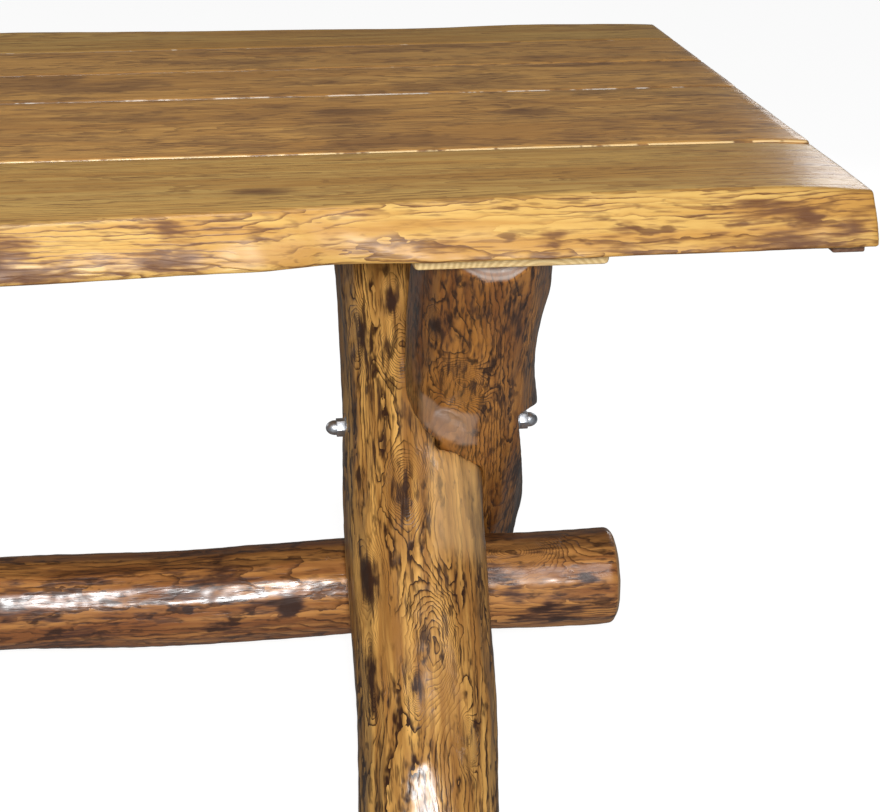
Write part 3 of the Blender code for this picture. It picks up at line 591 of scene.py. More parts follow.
def knot_swirls(tree, vector, knots, unburnt):
    """What all knots together do to the growth lines and the burning."""
    swirls = {"Rise": 0.0, "Calm": 1.0, "Core": -unburnt}
    for knot in knots:
        values = {field.title(): value for field, value in knot._asdict().items()}
        values.update({socket + " Before": value for socket, value in swirls.items()})
        outputs = add_node(tree, "Group", {"Vector": vector, **values}, node_tree=KNOT)
        swirls = {socket: outputs[socket] for socket in swirls}
    return swirls


def hewn_share(tree, vector, hewn):
    """1 inside a smooth patch, 0 outside it."""
    away = vectors(tree, "DIVIDE", vectors(tree, "SUBTRACT", vector, hewn.centre), hewn.reach)
    sides = add_node(tree, "SeparateXYZ", {0: vectors(tree, "ABSOLUTE", away)})
    far = maths(tree, "MAXIMUM", maths(tree, "MAXIMUM", sides["X"], sides["Y"]), sides["Z"])
    return ramped(tree, far, 1.0 + hewn.softness, 1.0 - hewn.softness)


def paint_arris_glints(tree, colour, arris, flatness, wear):
    """A colour with the painted glints of an eased arris laid over it, broken by darker stretches."""
    eased = product(tree, ramped(tree, flatness, 0.60, 0.72), ramped(tree, flatness, 0.97, 0.85), ARRIS_SHARE)
    glinting = ramped(tree, wear, arris.wear, arris.wear + GLINT_FADE)
    return tinted(tree, eased, colour, tinted(tree, glinting, ARRIS_DARK, (*arris.colour, 1.0)))


def wood_material(name, finish, seed, place, turn, knots=(), hewn=None, planed=0.0, arris=None):
    """Varnished wood with its grain along Z of a frame at a place, turned by Euler angles. Planed (0 or 1)
    gives the faces square to X of that frame less burning, fainter growth lines and more gloss."""
    material, tree, output = new_material(name)
    coordinates = add_node(tree, "TexCoord")
    values = {"Vector": coordinates["Object"], "Location": place, "Rotation": turn}
    vector = add_node(tree, "Mapping", values, vector_type="TEXTURE")[0]
    values = {"Vector": coordinates["Normal"], "Rotation": turn}
    normal = add_node(tree, "VectorRotate", values, rotation_type="EULER_XYZ", invert=True)[0]
    ragged = ragged_grain(tree, vector)
    flatness = maths(tree, "ABSOLUTE", add_node(tree, "SeparateXYZ", {0: normal})["X"])
    face = product(tree, ramped(tree, flatness, 0.75, 0.95), planed)
    kept = weighed(tree, face, PLANED_PALING, 1.0)
    gloss = weighed(tree, face, PLANED_GLOSS - finish.gloss, finish.gloss)
    blur = weighed(tree, face, PLANED_BLUR - finish.gloss_blur, finish.gloss_blur)
    values = {
        "Vector": vectors(tree, "MULTIPLY", vector, (1.0, 1.0, 1.0 / finish.drawn)),
        "Normal": normal,
        "Seed": seed,
        "Lines": finish.lines,
        "Line Depth": product(tree, kept, finish.line_depth),
        "Ledges": finish.ledges,
        "Burning": product(tree, kept, finish.burning),
        "Matt": product(tree, kept, finish.matt),
        "Worn": product(tree, face, PLANED_WEAR),
        **knot_swirls(tree, ragged, knots, finish.unburnt),
    }
    for tint in ("light", "middle", "dark", "burnt", "sawn"):
        values[tint.title()] = (*getattr(finish, tint), 1.0)
    if hewn:
        cut = hewn_share(tree, ragged, hewn)
        values["Hewn"] = product(tree, cut, hewn.strength)
        gloss = weighed(tree, cut, hewn.gloss, gloss)
    wood = add_node(tree, "Group", values, node_tree=BURNT_WOOD)
    relief = {"Height": wood["Height"], "Distance": RELIEF_DEPTH}
    # Painted shade: faces square to X of the grain frame, a log's flanks, are darkened towards near black.
    flank_shading = product(tree, ramped(tree, flatness, 0.66, 1.02), finish.soot_and_flank_shade)
    colour = tinted(tree, flank_shading, wood["Colour"], PAINTED_FLANK_SHADE)
    if arris:
        colour = paint_arris_glints(tree, colour, arris, flatness, cloudy(tree, vector, ARRIS_GLINT_BREAKUP, seed))
    varnish = {
        "Base Color": colour,
        "Roughness": wood["Roughness"],
        "Normal": add_node(tree, "Bump", {**relief, "Strength": BRUSHED_RELIEF})[0],
        "IOR": 1.45,
        "Coat Weight": gloss,
        "Coat Roughness": blur,
        "Coat IOR": 1.5,
        "Coat Normal": add_node(tree, "Bump", {**relief, "Strength": VARNISHED_RELIEF})[0],
    }
    tree.links.new(add_node(tree, "BsdfPrincipled", varnish)[0], output.inputs["Surface"])
    return material


def scorch(centre, reach, stretch, depth):
    """A spot that the flame burnt deeper, or less if depth is negative: a knot's heart, no lines round it."""
    return Knot(centre, reach, 0.0, stretch, depth, 0.0)


class Plank(NamedTuple):
    """One plank: its live edge and the side that has it (-1 front, +1 back), finish, worn ends and arris
    glint.
    """

    stations: tuple
    live_side: int
    finish: Finish
    fall_reach: float
    arris: ArrisGlint


ALONG_X = (0.0, math.pi / 2.0, 0.0)
HEART_DEPTH = 0.03
SHAPE_SEED = 3.7
GRAIN_SEED = 2.3
TOP_FINISH = Finish(
    light=(0.76, 0.410, 0.105), middle=(0.51, 0.245, 0.057), dark=(0.120, 0.050, 0.018),
    burnt=(0.170, 0.084, 0.036), sawn=(0.52, 0.33, 0.12),
    lines=44.0, line_depth=0.85, burning=1.10, gloss=0.42, gloss_blur=0.18)
EDGE_FINISH = Finish(
    light=(0.61, 0.378, 0.104), middle=(0.47, 0.240, 0.052), dark=(0.120, 0.044, 0.012),
    burnt=(0.235, 0.104, 0.024), sawn=(0.55, 0.35, 0.13),
    lines=26.0, line_depth=0.85, burning=0.80, gloss=0.16, gloss_blur=0.36,
    matt=0.12, ledges=0.5, drawn=1.35, unburnt=0.55)
BURN_MARKS = {
    "front": (
        scorch((0.351, -0.498, 0.709), 0.016, 0.30, 1.15),
        scorch((0.245, -0.505, 0.705), 0.014, 0.30, 1.05),
        scorch((0.367, -0.487, 0.739), 0.009, 0.45, 1.00),
        scorch((0.444, -0.481, 0.736), 0.009, 0.50, 0.90),
        scorch((0.501, -0.479, 0.720), 0.010, 0.50, 1.05),
        scorch((0.532, -0.468, 0.742), 0.012, 0.35, 0.90),
        scorch((0.605, -0.479, 0.714), 0.012, 0.50, 1.05),
        scorch((0.702, -0.474, 0.718), 0.010, 0.60, 1.10),
        scorch((0.899, -0.458, 0.736), 0.012, 0.35, 0.80),
        scorch((0.936, -0.467, 0.727), 0.010, 0.90, 1.00),
        scorch((0.977, -0.474, 0.717), 0.011, 0.70, 1.00),
        scorch((0.880, -0.478, 0.703), 0.020, 0.20, 0.90),
        scorch((0.930, -0.468, 0.722), 0.060, 0.50, 0.26),
        scorch((0.130, -0.505, 0.704), 0.016, 0.20, 1.05),
        scorch((0.165, -0.500, 0.716), 0.018, 0.25, 0.85),
        scorch((0.110, -0.498, 0.724), 0.030, 0.25, 0.60),
        scorch((0.140, -0.492, 0.730), 0.090, 0.50, 0.62),
        scorch((0.447, -0.405, 0.750), 0.016, 0.60, 2.30),
    ),
    "second": (
        scorch((0.539, -0.060, 0.750), 0.015, 0.30, 1.10),
        scorch((0.730, -0.085, 0.750), 0.014, 0.40, 1.00),
    ),
    "middle": (
        scorch((0.300, 0.110, 0.750), 0.030, 0.40, 0.40),
    ),
}
# Each plank's arris glint colour is a painted highlight: cream, silver grey or pale brown.
PLANKS = {
    "front": Plank(FRONT_EDGE, -1, EDGE_FINISH, 0.095, None),
    "second": Plank(None, 0, TOP_FINISH, 0.055, ArrisGlint((0.92, 0.70, 0.36), 0.41)),
    "middle": Plank(None, 0, TOP_FINISH, 0.045, ArrisGlint((0.66, 0.61, 0.54), 0.50)),
    "fourth": Plank(None, 0, TOP_FINISH, 0.040, ArrisGlint((0.50, 0.44, 0.36), 0.62)),
    "back": Plank(BACK_EDGE, 1, EDGE_FINISH, 0.040, ArrisGlint((0.50, 0.44, 0.36), 0.62)),
}
for number, (name, plank) in enumerate(PLANKS.items()):
    node_name = name + "_board"
    low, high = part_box(node_name)
    front = -LIVE_LINE if plank.live_side < 0 else low.y
    back = LIVE_LINE if plank.live_side > 0 else high.y
    bm = plank_bmesh(front, back, plank.live_side)
    shape_plank(bm, front, back, plank, number * SHAPE_SEED)
    heart_y = (front + back) / 2.0
    heart_z = plank_low.z - HEART_DEPTH
    marks = []
    for mark in BURN_MARKS.get(name, ()):
        x, y, z = mark.centre
        marks.append(mark._replace(centre=(heart_z - z, y - heart_y, x)))
    varnished = wood_material(
        name + "_plank_wood", plank.finish, number * GRAIN_SEED, (0.0, heart_y, heart_z), ALONG_X, marks,
        planed=1.0, arris=plank.arris)
    show(smooth_mesh(name + "_plank", bm, varnished), node_name)


# Bearers and end battens
# Two pale sawn boards cross the underside and carry the top, and a thin dark batten under each end keeps the
# plank ends level. All are screwed up into the planks from below.
SAWN_FINISH = Finish(
    light=(0.70, 0.46, 0.17), middle=(0.52, 0.29, 0.085), dark=(0.26, 0.12, 0.035),
    burnt=(0.24, 0.12, 0.05), sawn=(0.93, 0.69, 0.33),
    lines=30.0, line_depth=0.7, burning=0.35, gloss=0.25, gloss_blur=0.30)
DARK_FINISH = Finish(
    light=(0.16, 0.075, 0.040), middle=(0.10, 0.044, 0.026), dark=(0.035, 0.015, 0.010),
    burnt=(0.05, 0.025, 0.018), sawn=(0.16, 0.085, 0.05),
    lines=30.0, line_depth=0.7, burning=0.6, gloss=0.25, gloss_blur=0.30)
ALONG_Y = (math.pi / 2.0, 0.0, 0.0)
BAR_HEART = (0.03, 0.04)
BAR_SEED = 3.1
BAR_CUTS = 59
BAR_WEAR = 0.0006
WEAR_SCALE = Vector((25.0, 18.0, 25.0))


def box_bmesh(low, high):
    """A box between two corners."""
    bm = bmesh.new()
    bmesh.ops.create_cube(bm, size=1.0)
    bmesh.ops.scale(bm, vec=high - low, verts=bm.verts)
    bmesh.ops.translate(bm, vec=(low + high) / 2.0, verts=bm.verts)
    return bm


def sawn_bar(name, low, high, easing, material):
    """A sawn bar with eased and slightly worn arrises."""
    bm = box_bmesh(low, high)
    ease(bm, bm.edges[:], easing, 3)
    lengthwise = [edge for edge in bm.edges if edge_span(edge, "y") > (high.y - low.y) / 2.0]
    bmesh.ops.subdivide_edges(bm, edges=lengthwise, cuts=BAR_CUTS, use_grid_fill=True)
    for vert in bm.verts:
        vert.co.x += BAR_WEAR * noise.noise(vert.co * WEAR_SCALE)
    return smooth_mesh(name, bm, material)


for side_name in ("right", "left"):
    for kind, slot, easing, finish in (
            ("bearer", "bearer", 0.005, SAWN_FINISH), ("end_batten", "batten", 0.002, DARK_FINISH)):
        node_name = f"{side_name}_{kind}"
        low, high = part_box(node_name)
        heart = ((low.x + high.x) / 2.0 + BAR_HEART[0], 0.0, low.z - BAR_HEART[1])
        sawn = wood_material(node_name + "_wood", finish, BAR_SEED + 2.0 * easing + low.x, heart, ALONG_Y)
        show(sawn_bar(node_name + "_wood", low, high, easing, sawn), node_name)


# Legs of the trestles
# Peeled logs, burnt, brushed and varnished like the boards. The inner leg of each trestle is notched and the
# outer leg is fitted over it. Both are sawn level at the floor and under the bearer and flattened for the
# nuts.
class Swelling(NamedTuple):
    """A bump on a log, or a hollow if its height is negative: its place along the log and round it."""

    along: float
    degrees: float
    height: float


class Log(NamedTuple):
    """A peeled log, measured along its own Z from the crossing or the middle. Its phase turns its oval and
    waves, and the draw-knife's flats start at knife_turn and wander by knife_drift."""

    radius: float
    taper: float
    phase: float
    seed: float
    swellings: tuple
    knots: tuple
    knife_turn: float = 0.0
    knife_drift: float = 1.1
    oval: float = 0.0018


class Leg(NamedTuple):
    """One log of a trestle: side of the table, shift from the trestle's middle, tilt, lean and finish."""

    name: str
    side: int
    log: Log
    offset: float
    tilt: float
    lean: float
    finish: Finish
    hewn: Hewn


TRESTLE_X = 0.66
CROSSING_Z = 0.375
LEG_OFFSET = 0.0315
LEG_TILT = math.radians(40.0)
INNER_LEAN = math.radians(2.6)
OUTER_LEAN = math.radians(-3.8)
HEAD_GAP = 0.0003
LEG_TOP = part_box("right_bearer")[0].z - HEAD_GAP
SPARE_LENGTH = 0.02
LAP_PLANE = -0.015
LAP_CHEEK = 0.004
TIP_TRIM = 0.0315
SEAM = 0.0010
INNER_RADIUS = 0.079
OUTER_RADIUS = 0.072
INNER_LOG = {
    "right": Log(
        INNER_RADIUS, 0.010, 0.4, 4.4,
        (Swelling(-0.110, -75.0, 0.003), Swelling(-0.412, -106.0, 0.0095)),
        (
            Knot((-0.099, -105.0), 0.020, 2.4, 0.60, 0.7),
            Knot((-0.280, -86.0), 0.026, 5.0, 0.40),
            Knot((0.068, -103.0), 0.022, 2.4, 0.70),
            Knot((0.121, -109.0), 0.010, 0.2, 0.50, 1.0),
            Knot((0.091, -142.0), 0.012, 0.2, 0.40, 1.0),
            Knot((-0.199, -142.0), 0.016, 0.2, 0.50, 1.0),
            Knot((-0.324, -103.0), 0.008, 0.2, 0.40, 1.0),
            Knot((-0.382, -60.0), 0.010, 0.2, 0.50, 1.0),
            Knot((-0.300, -144.0), 0.011, 0.2, 0.30, 1.0),
            scorch((-0.420, -66.0), 0.040, 0.70, -0.55),
        )),
    "left": Log(
        INNER_RADIUS, 0.010, 1.3, 17.3,
        (Swelling(0.190, 200.0, 0.004), Swelling(-0.300, -100.0, 0.003)),
        (Knot((0.150, -80.0), 0.028, 3.0), Knot((-0.250, -110.0), 0.026, 3.4))),
}
OUTER_LOG = {
    "right": Log(
        OUTER_RADIUS, -0.002, 2.1, 8.9,
        (
            Swelling(0.050, -20.0, 0.006),
            Swelling(0.080, -110.0, 0.003),
            Swelling(-0.170, -5.0, 0.004),
            Swelling(0.300, 0.0, 0.005),
        ),
        (
            Knot((0.200, -107.0), 0.026, 3.6, 0.80, 0.0, 0.97),
            Knot((0.287, -139.0), 0.008, 0.2, 0.40, 0.8),
            scorch((-0.040, -52.0), 0.045, 0.35, 0.42),
            Knot((-0.250, 90.0), 0.028, 3.0),
        )),
    "left": Log(
        OUTER_RADIUS, -0.002, 3.4, 21.6,
        (Swelling(0.150, -60.0, 0.004), Swelling(-0.260, 130.0, 0.004)),
        (Knot((0.150, -60.0), 0.030, 3.4), Knot((-0.260, 130.0), 0.026, 3.0))),
}
WAVE = 0.0022
WAVE_LENGTH = 0.420
SWELLING_REACH = 0.045
KNIFE_CUTS = 16
LOG_SEGMENTS = 128
LOG_STEP = 0.008


def log_radius(log, along, angle):
    """Radius of a peeled log: taper, oval section, long waves, branch bumps and the marks of peeling."""
    radius = log.radius + log.taper * along
    radius += log.oval * math.cos(2.0 * angle + log.phase)
    radius += WAVE * math.sin(math.tau * along / WAVE_LENGTH + angle + log.phase)
    for swelling in log.swellings:
        turned = math.remainder(angle - math.radians(swelling.degrees), math.tau)
        away = math.hypot(along - swelling.along, log.radius * turned) / SWELLING_REACH
        radius += swelling.height * math.exp(-away * away)
    around = Vector((math.cos(angle), math.sin(angle), 0.0))
    drift = log.knife_drift * noise.noise(around * 0.8 + Vector((log.phase, log.phase, along * 7.0)))
    facet = (KNIFE_CUTS * angle / math.tau + drift + log.knife_turn) % 1.0 - 0.5
    radius -= log.radius * (1.0 - math.cos(math.pi / KNIFE_CUTS)) * (1.0 - 4.0 * facet * facet)
    radius += 0.0010 * noise.noise(around * 2.6 + Vector((log.phase, 0.0, along * 9.0)))
    radius += 0.0006 * noise.noise(around * 6.0 + Vector((0.0, log.phase, along * 22.0)))
    return radius


def on_log(log, along, degrees):
    """A point on a log's surface, from its place along the log and round it."""
    angle = math.radians(degrees)
    radius = log_radius(log, along, angle)
    return radius * math.cos(angle), radius * math.sin(angle), along


def log_knots(log):
    """A log's knots, put on its surface."""
    return [knot._replace(centre=on_log(log, *knot.centre)) for knot in log.knots]


def rod_bmesh(radius, sides, low, high):
    """A rod with many or few sides, along Z between two heights."""
    bm = bmesh.new()
    bmesh.ops.create_cone(bm, cap_ends=True, segments=sides, radius1=radius, radius2=radius, depth=high - low)
    bmesh.ops.translate(bm, vec=(0.0, 0.0, (low + high) / 2.0), verts=bm.verts)
    return bm


def log_bmesh(log, low, high, grow=0.0):
    """A log along its own Z; grow makes it fatter, for cutting the seat that another log fits."""
    bm = rod_bmesh(log.radius, LOG_SEGMENTS, low, high)
    lengthwise = [edge for edge in bm.edges if edge_span(edge, "z") > log.radius]
    bmesh.ops.subdivide_edges(bm, edges=lengthwise, cuts=int((high - low) / LOG_STEP), use_grid_fill=True)
    for vert in bm.verts:
        angle = math.atan2(vert.co.y, vert.co.x)
        radius = log_radius(log, vert.co.z, angle) + grow
        vert.co.x = radius * math.cos(angle)
        vert.co.y = radius * math.sin(angle)
    return bm


def plain_mesh(name, bm):
    """A bare mesh for carving."""
    bm.normal_update()
    bmesh.ops.recalc_face_normals(bm, faces=bm.faces)
    return new_mesh(name, bm)


def carve(mesh, tools, grain=None, operation="DIFFERENCE"):
    """Cut a mesh with others or join them to it; a grain size rebuilds its skin in small even faces."""
    work = new_object("work", mesh)
    temporary = [work]
    for tool_mesh in tools:
        tool = new_object("tool", tool_mesh)
        temporary.append(tool)
        cut = work.modifiers.new("cut", "BOOLEAN")
        cut.operation = operation
        cut.solver = "EXACT"
        cut.object = tool
    if grain:
        skin = work.modifiers.new("skin", "REMESH")
        skin.mode = "VOXEL"
        skin.voxel_size = grain
    shown = work.evaluated_get(bpy.context.evaluated_depsgraph_get())
    result = bpy.data.meshes.new_from_object(shown)
    for item in temporary:
        bpy.data.objects.remove(item)
    return result


def box_tool(low, high, place):
    """A box between two corners, put in place, for carving."""
    bm = box_bmesh(Vector(low), Vector(high))
    bm.transform(place)
    return plain_mesh("box_tool", bm)


def saw(bm, point, outward):
    """Saw off what lies beyond a plane and close the cut."""
    everything = bm.verts[:] + bm.edges[:] + bm.faces[:]
    cut = bmesh.ops.bisect_plane(bm, geom=everything, plane_co=point, plane_no=outward, clear_outer=True)
    rim = [item for item in cut["geom_cut"] if isinstance(item, bmesh.types.BMEdge)]
    bmesh.ops.edgeloop_fill(bm, edges=rim)


WEAR_ROUNDS = 2
BRUSH_DEPTH = 0.0004
BRUSH_SCALE = 85.0


def soften(mesh, seed):
    """Wear a carved skin smooth and leave the small hollows of the brush on it."""
    bm = bmesh.new()
    bm.from_mesh(mesh)
    for _ in range(WEAR_ROUNDS):
        bmesh.ops.smooth_vert(
            bm, verts=bm.verts, factor=0.5, use_axis_x=True, use_axis_y=True, use_axis_z=True)
    bm.normal_update()
    offset = Vector((seed, seed, seed))
    moves = [vert.normal * BRUSH_DEPTH * noise.noise(vert.co * BRUSH_SCALE + offset) for vert in bm.verts]
    for vert, move in zip(bm.verts, moves):
        vert.co += move
    return bm


def leg_frame(leg):
    """Matrix that stands a log in its trestle, its Z axis along the log and its origin at the crossing."""
    crossing = Matrix.Translation((leg.side * (TRESTLE_X + leg.offset), 0.0, CROSSING_Z))
    return crossing @ Matrix.Rotation(leg.side * leg.lean, 4, "Y") @ Matrix.Rotation(leg.tilt, 4, "X")


def leg_limits(leg):
    """How far a rough log runs below and above the crossing."""
    spare = leg.log.radius * math.tan(LEG_TILT) + SPARE_LENGTH
    return -CROSSING_Z / math.cos(LEG_TILT) - spare, (LEG_TOP - CROSSING_Z) / math.cos(LEG_TILT) + spare


def sawn_log(leg):
    """A leg's log, sawn level at both ends with its upper tip trimmed upright."""
    bm = log_bmesh(leg.log, *leg_limits(leg))
    bm.transform(leg_frame(leg))
    top_side = -math.copysign(1.0, leg.tilt)
    tip = (LEG_TOP - CROSSING_Z) * math.tan(LEG_TILT) + leg.log.radius / math.cos(LEG_TILT) - TIP_TRIM
    saw(bm, (0.0, 0.0, 0.0), (0.0, 0.0, -1.0))
    saw(bm, (0.0, 0.0, LEG_TOP), (0.0, 0.0, 1.0))
    saw(bm, (0.0, top_side * tip, 0.0), (0.0, top_side, 0.0))
    return plain_mesh(leg.name, bm)


def lap_notch(inner, outer, narrower):
    """The notch across an inner leg in which the outer leg lies."""
    half = outer.log.radius - LAP_CHEEK - narrower
    floor = outer.side * (LAP_PLANE + narrower - outer.offset)
    reach = outer.side * (inner.log.radius + outer.log.radius)
    place = Matrix.Translation(leg_frame(outer).to_translation()) @ Matrix.Rotation(outer.tilt, 4, "X")
    low = (min(floor, reach), -half, -2.0 * inner.log.radius)
    high = (max(floor, reach), half, 2.0 * inner.log.radius)
    return box_tool(low, high, place)


STRETCHER = Log(
    0.0537, 0.0050, 2.77, 12.7,
    (Swelling(0.350, -60.0, 0.0015), Swelling(-0.240, 20.0, 0.003), Swelling(0.752, -112.0, -0.0016)),
    (
        scorch((0.482, -94.0), 0.008, 0.90, 3.0),
        scorch((0.367, -97.0), 0.0045, 0.90, 2.6),
        Knot((0.741, -150.0), 0.024, 2.6, 0.50),
        scorch((0.210, -140.0), 0.040, 0.60, 0.45),
        scorch((0.360, -150.0), 0.024, 0.40, 0.45),
        scorch((0.260, -62.0), 0.022, 0.30, 0.45),
        scorch((0.780, -75.0), 0.034, 0.50, 0.50),
        scorch((0.827, -110.5), 0.010, 0.70, 1.20),
        scorch((0.725, -112.0), 0.018, 0.60, 0.60),
        Knot((-0.350, -120.0), 0.022, 2.4),
    ),
    knife_turn=0.58, knife_drift=0.15, oval=0.0)
STRETCHER_REACH = 0.868
STRETCHER_CHAMFER = 0.011
STRETCHER_PLACE = Matrix.Translation((0.0, 0.00457, 0.17431)) @ Matrix.Rotation(math.pi / 2.0, 4, "Y")


def stretcher_mesh(grow):
    """The stretcher's log in place, with its end arrises chamfered by the draw-knife."""
    bm = log_bmesh(STRETCHER, -STRETCHER_REACH, STRETCHER_REACH, grow)
    rims = [
        edge for edge in bm.edges
        if all(abs(abs(vert.co.z) - STRETCHER_REACH) < 0.0001 for vert in edge.verts)
    ]
    ease(bm, rims, STRETCHER_CHAMFER, 2)
    bm.transform(STRETCHER_PLACE)
    return plain_mesh("stretcher", bm)


INNER_FLAT = 0.0060
OUTER_FLAT = 0.0145
INNER_SEAT = LEG_OFFSET + INNER_RADIUS - INNER_FLAT
OUTER_SEAT = LEG_OFFSET + OUTER_RADIUS - OUTER_FLAT
SEAT_RADIUS = 0.016
SEAT_DEPTH = 0.05
SEAT_SEGMENTS = 32


def nut_seat(x, direction):
    """The round flat under a washer, square to the rod."""
    bm = rod_bmesh(SEAT_RADIUS, SEAT_SEGMENTS, 0.0, SEAT_DEPTH)
    turned = Matrix.Rotation(direction * math.pi / 2.0, 4, "Y")
    bm.transform(Matrix.Translation((x, 0.0, CROSSING_Z)) @ turned)
    return plain_mesh("nut_seat", bm)


FLAT_HALF = 0.144
FLAT_DROP = 0.300
FLAT_RISE = 0.005
FLAT_TURN = math.radians(5.0)
FLAT_SLOPE = math.radians(8.0)
FLAT_RAKE = math.radians(20.0)
STEP_SLOPE = 0.41


def hewn_flat(side, x):
    """The flat hewn on an outer leg for its nut, running out below and ending above in a raking step."""
    reach = side * FLAT_HALF
    turned = Matrix.Rotation(-side * FLAT_TURN, 4, "Z")
    slope = Matrix.Rotation(-side * FLAT_SLOPE, 4, "Y")
    rake = Matrix.Rotation(-FLAT_RAKE, 4, "X")
    step = Matrix.Identity(4)
    step[2][0] = side * STEP_SLOPE
    place = Matrix.Translation((x, 0.0, CROSSING_Z)) @ turned @ slope @ rake @ step
    low = (min(0.0, reach), -FLAT_HALF, -FLAT_DROP)
    high = (max(0.0, reach), FLAT_HALF, FLAT_RISE)
    return box_tool(low, high, place)


SCOOP_RADIUS = 0.080
SCOOP_DEPTH = 0.006
SCOOP_ALONG = 0.112
SCOOP_TURN = 28.0


def scoop_tool(leg, along, degrees):
    """The round sole of a gouge, to hollow a log's side a little."""
    angle = math.radians(degrees)
    outward = Vector((math.cos(angle), math.sin(angle), 0.0))
    centre = Vector(on_log(leg.log, along, degrees)) + outward * (SCOOP_RADIUS - SCOOP_DEPTH)
    bm = bmesh.new()
    bmesh.ops.create_uvsphere(bm, u_segments=48, v_segments=32, radius=SCOOP_RADIUS)
    bm.transform(leg_frame(leg) @ Matrix.Translation(centre))
    return plain_mesh("scoop_tool", bm)


CHOP_ALONG = -0.440
CHOP_TURN = -99.0
CHOP_TILT = 9.6
CHOP_DEPTH = 0.0030
CHOP_LOW = (0.0, -0.05, -0.036)
CHOP_HIGH = (0.05, 0.05, 0.06)


def chop_tool(leg):
    """The flat side of an axe, laid low against a leg's front to take the top off a branch stub."""
    round_log = Matrix.Rotation(math.radians(CHOP_TURN), 4, "Z")
    turned = round_log @ Matrix.Rotation(math.radians(CHOP_TILT), 4, "Y")
    outward = turned.to_3x3() @ Vector((1.0, 0.0, 0.0))
    place = Vector(on_log(leg.log, CHOP_ALONG, CHOP_TURN)) - outward * CHOP_DEPTH
    return box_tool(CHOP_LOW, CHOP_HIGH, leg_frame(leg) @ Matrix.Translation(place) @ turned)


LOG_GRAIN = 0.0028
# The sawn colours also paint the sheen on the legs' hewn patches: pale bluish tan, and grey on the dark legs.
LEG_FINISH = Finish(
    light=(0.88, 0.485, 0.128), middle=(0.39, 0.174, 0.040), dark=(0.040, 0.014, 0.006),
    burnt=(0.062, 0.024, 0.010), sawn=(0.98, 0.66, 0.34),
    lines=34.0, line_depth=1.0, burning=0.90, gloss=0.52, gloss_blur=0.27, soot_and_flank_shade=0.55, unburnt=0.38)
DARK_LEG_FINISH = Finish(
    light=(0.50, 0.212, 0.043), middle=(0.235, 0.082, 0.0165), dark=(0.030, 0.011, 0.005),
    burnt=(0.065, 0.028, 0.015), sawn=(0.50, 0.42, 0.37),
    lines=32.0, line_depth=0.95, burning=0.92, gloss=0.45, gloss_blur=0.20, soot_and_flank_shade=0.45, unburnt=0.20)

for side_name, side in (("right", 1), ("left", -1)):
    # Partly painted sheen: the patch beside the lap is lightened in colour, besides its extra gloss.
    lap_patch_and_sheen = Hewn(
        centre=(side * 0.040, -0.052, -0.118), reach=(0.031, 0.060, 0.056),
        strength=0.27, gloss=0.20, softness=0.35)
    inner = Leg(
        side_name + "_inner_leg", side, INNER_LOG[side_name], -LEG_OFFSET, -LEG_TILT, INNER_LEAN,
        LEG_FINISH, lap_patch_and_sheen)
    scoop_degrees = -90.0 - side * SCOOP_TURN
    # Partly painted sheen: the gouged hollow is greyed and lightened in colour, besides its extra gloss.
    scoop_patch_and_sheen = Hewn(
        centre=on_log(OUTER_LOG[side_name], SCOOP_ALONG, scoop_degrees), reach=(0.030, 0.030, 0.030),
        strength=0.33, gloss=0.50, softness=0.15)
    outer = Leg(
        side_name + "_outer_leg", side, OUTER_LOG[side_name], LEG_OFFSET, LEG_TILT, OUTER_LEAN,
        DARK_LEG_FINISH, scoop_patch_and_sheen)
    fat_stretcher = stretcher_mesh(SEAM)
    fat_inner = log_bmesh(inner.log, *leg_limits(inner), grow=SEAM)
    fat_inner.transform(leg_frame(inner))
    inner_pattern = carve(plain_mesh("inner_pattern", fat_inner), [lap_notch(inner, outer, SEAM)])
    inner_tools = [
        lap_notch(inner, outer, 0.0),
        fat_stretcher,
        nut_seat(side * (TRESTLE_X - INNER_SEAT), -side),
    ]
    if side > 0:
        inner_tools.append(chop_tool(inner))
    outer_tools = [
        inner_pattern,
        fat_stretcher,
        hewn_flat(side, side * (TRESTLE_X + OUTER_SEAT)),
        nut_seat(side * (TRESTLE_X + OUTER_SEAT), side),
        scoop_tool(outer, SCOOP_ALONG, scoop_degrees),
    ]
    for leg, slot, tools in ((inner, "leg", inner_tools), (outer, "dark_leg", outer_tools)):
        carved = carve(sawn_log(leg), tools, LOG_GRAIN)
        place = leg_frame(leg)
        varnished = wood_material(
            leg.name + "_wood", leg.finish, leg.log.seed, place.to_translation(), place.to_euler(),
            log_knots(leg.log), leg.hewn)
        show(smooth_mesh(leg.name + "_wood", soften(carved, leg.log.seed), varnished), leg.name)


# Stretcher
# One long peeled log, redder than the legs and varnished to a high gloss, lies in the lower forks of both
# trestles and is let a little into all four legs.
STRETCHER_GRAIN = 0.0030
STRETCHER_BRUSH_SEED = 5.0
STRETCHER_FINISH = Finish(
    light=(0.67, 0.304, 0.082), middle=(0.30, 0.105, 0.029), dark=(0.050, 0.018, 0.009),
    burnt=(0.105, 0.040, 0.024), sawn=(0.50, 0.30, 0.14),
    lines=40.0, line_depth=0.70, burning=0.92, gloss=0.9, gloss_blur=0.24, soot_and_flank_shade=0.45, unburnt=0.26)
varnished = wood_material(
    "stretcher_wood", STRETCHER_FINISH, STRETCHER.seed, STRETCHER_PLACE.to_translation(),
    STRETCHER_PLACE.to_euler(), log_knots(STRETCHER))
worn = soften(carve(stretcher_mesh(0.0), [], STRETCHER_GRAIN), STRETCHER_BRUSH_SEED)
show(smooth_mesh("stretcher_log", worn, varnished), "stretcher")


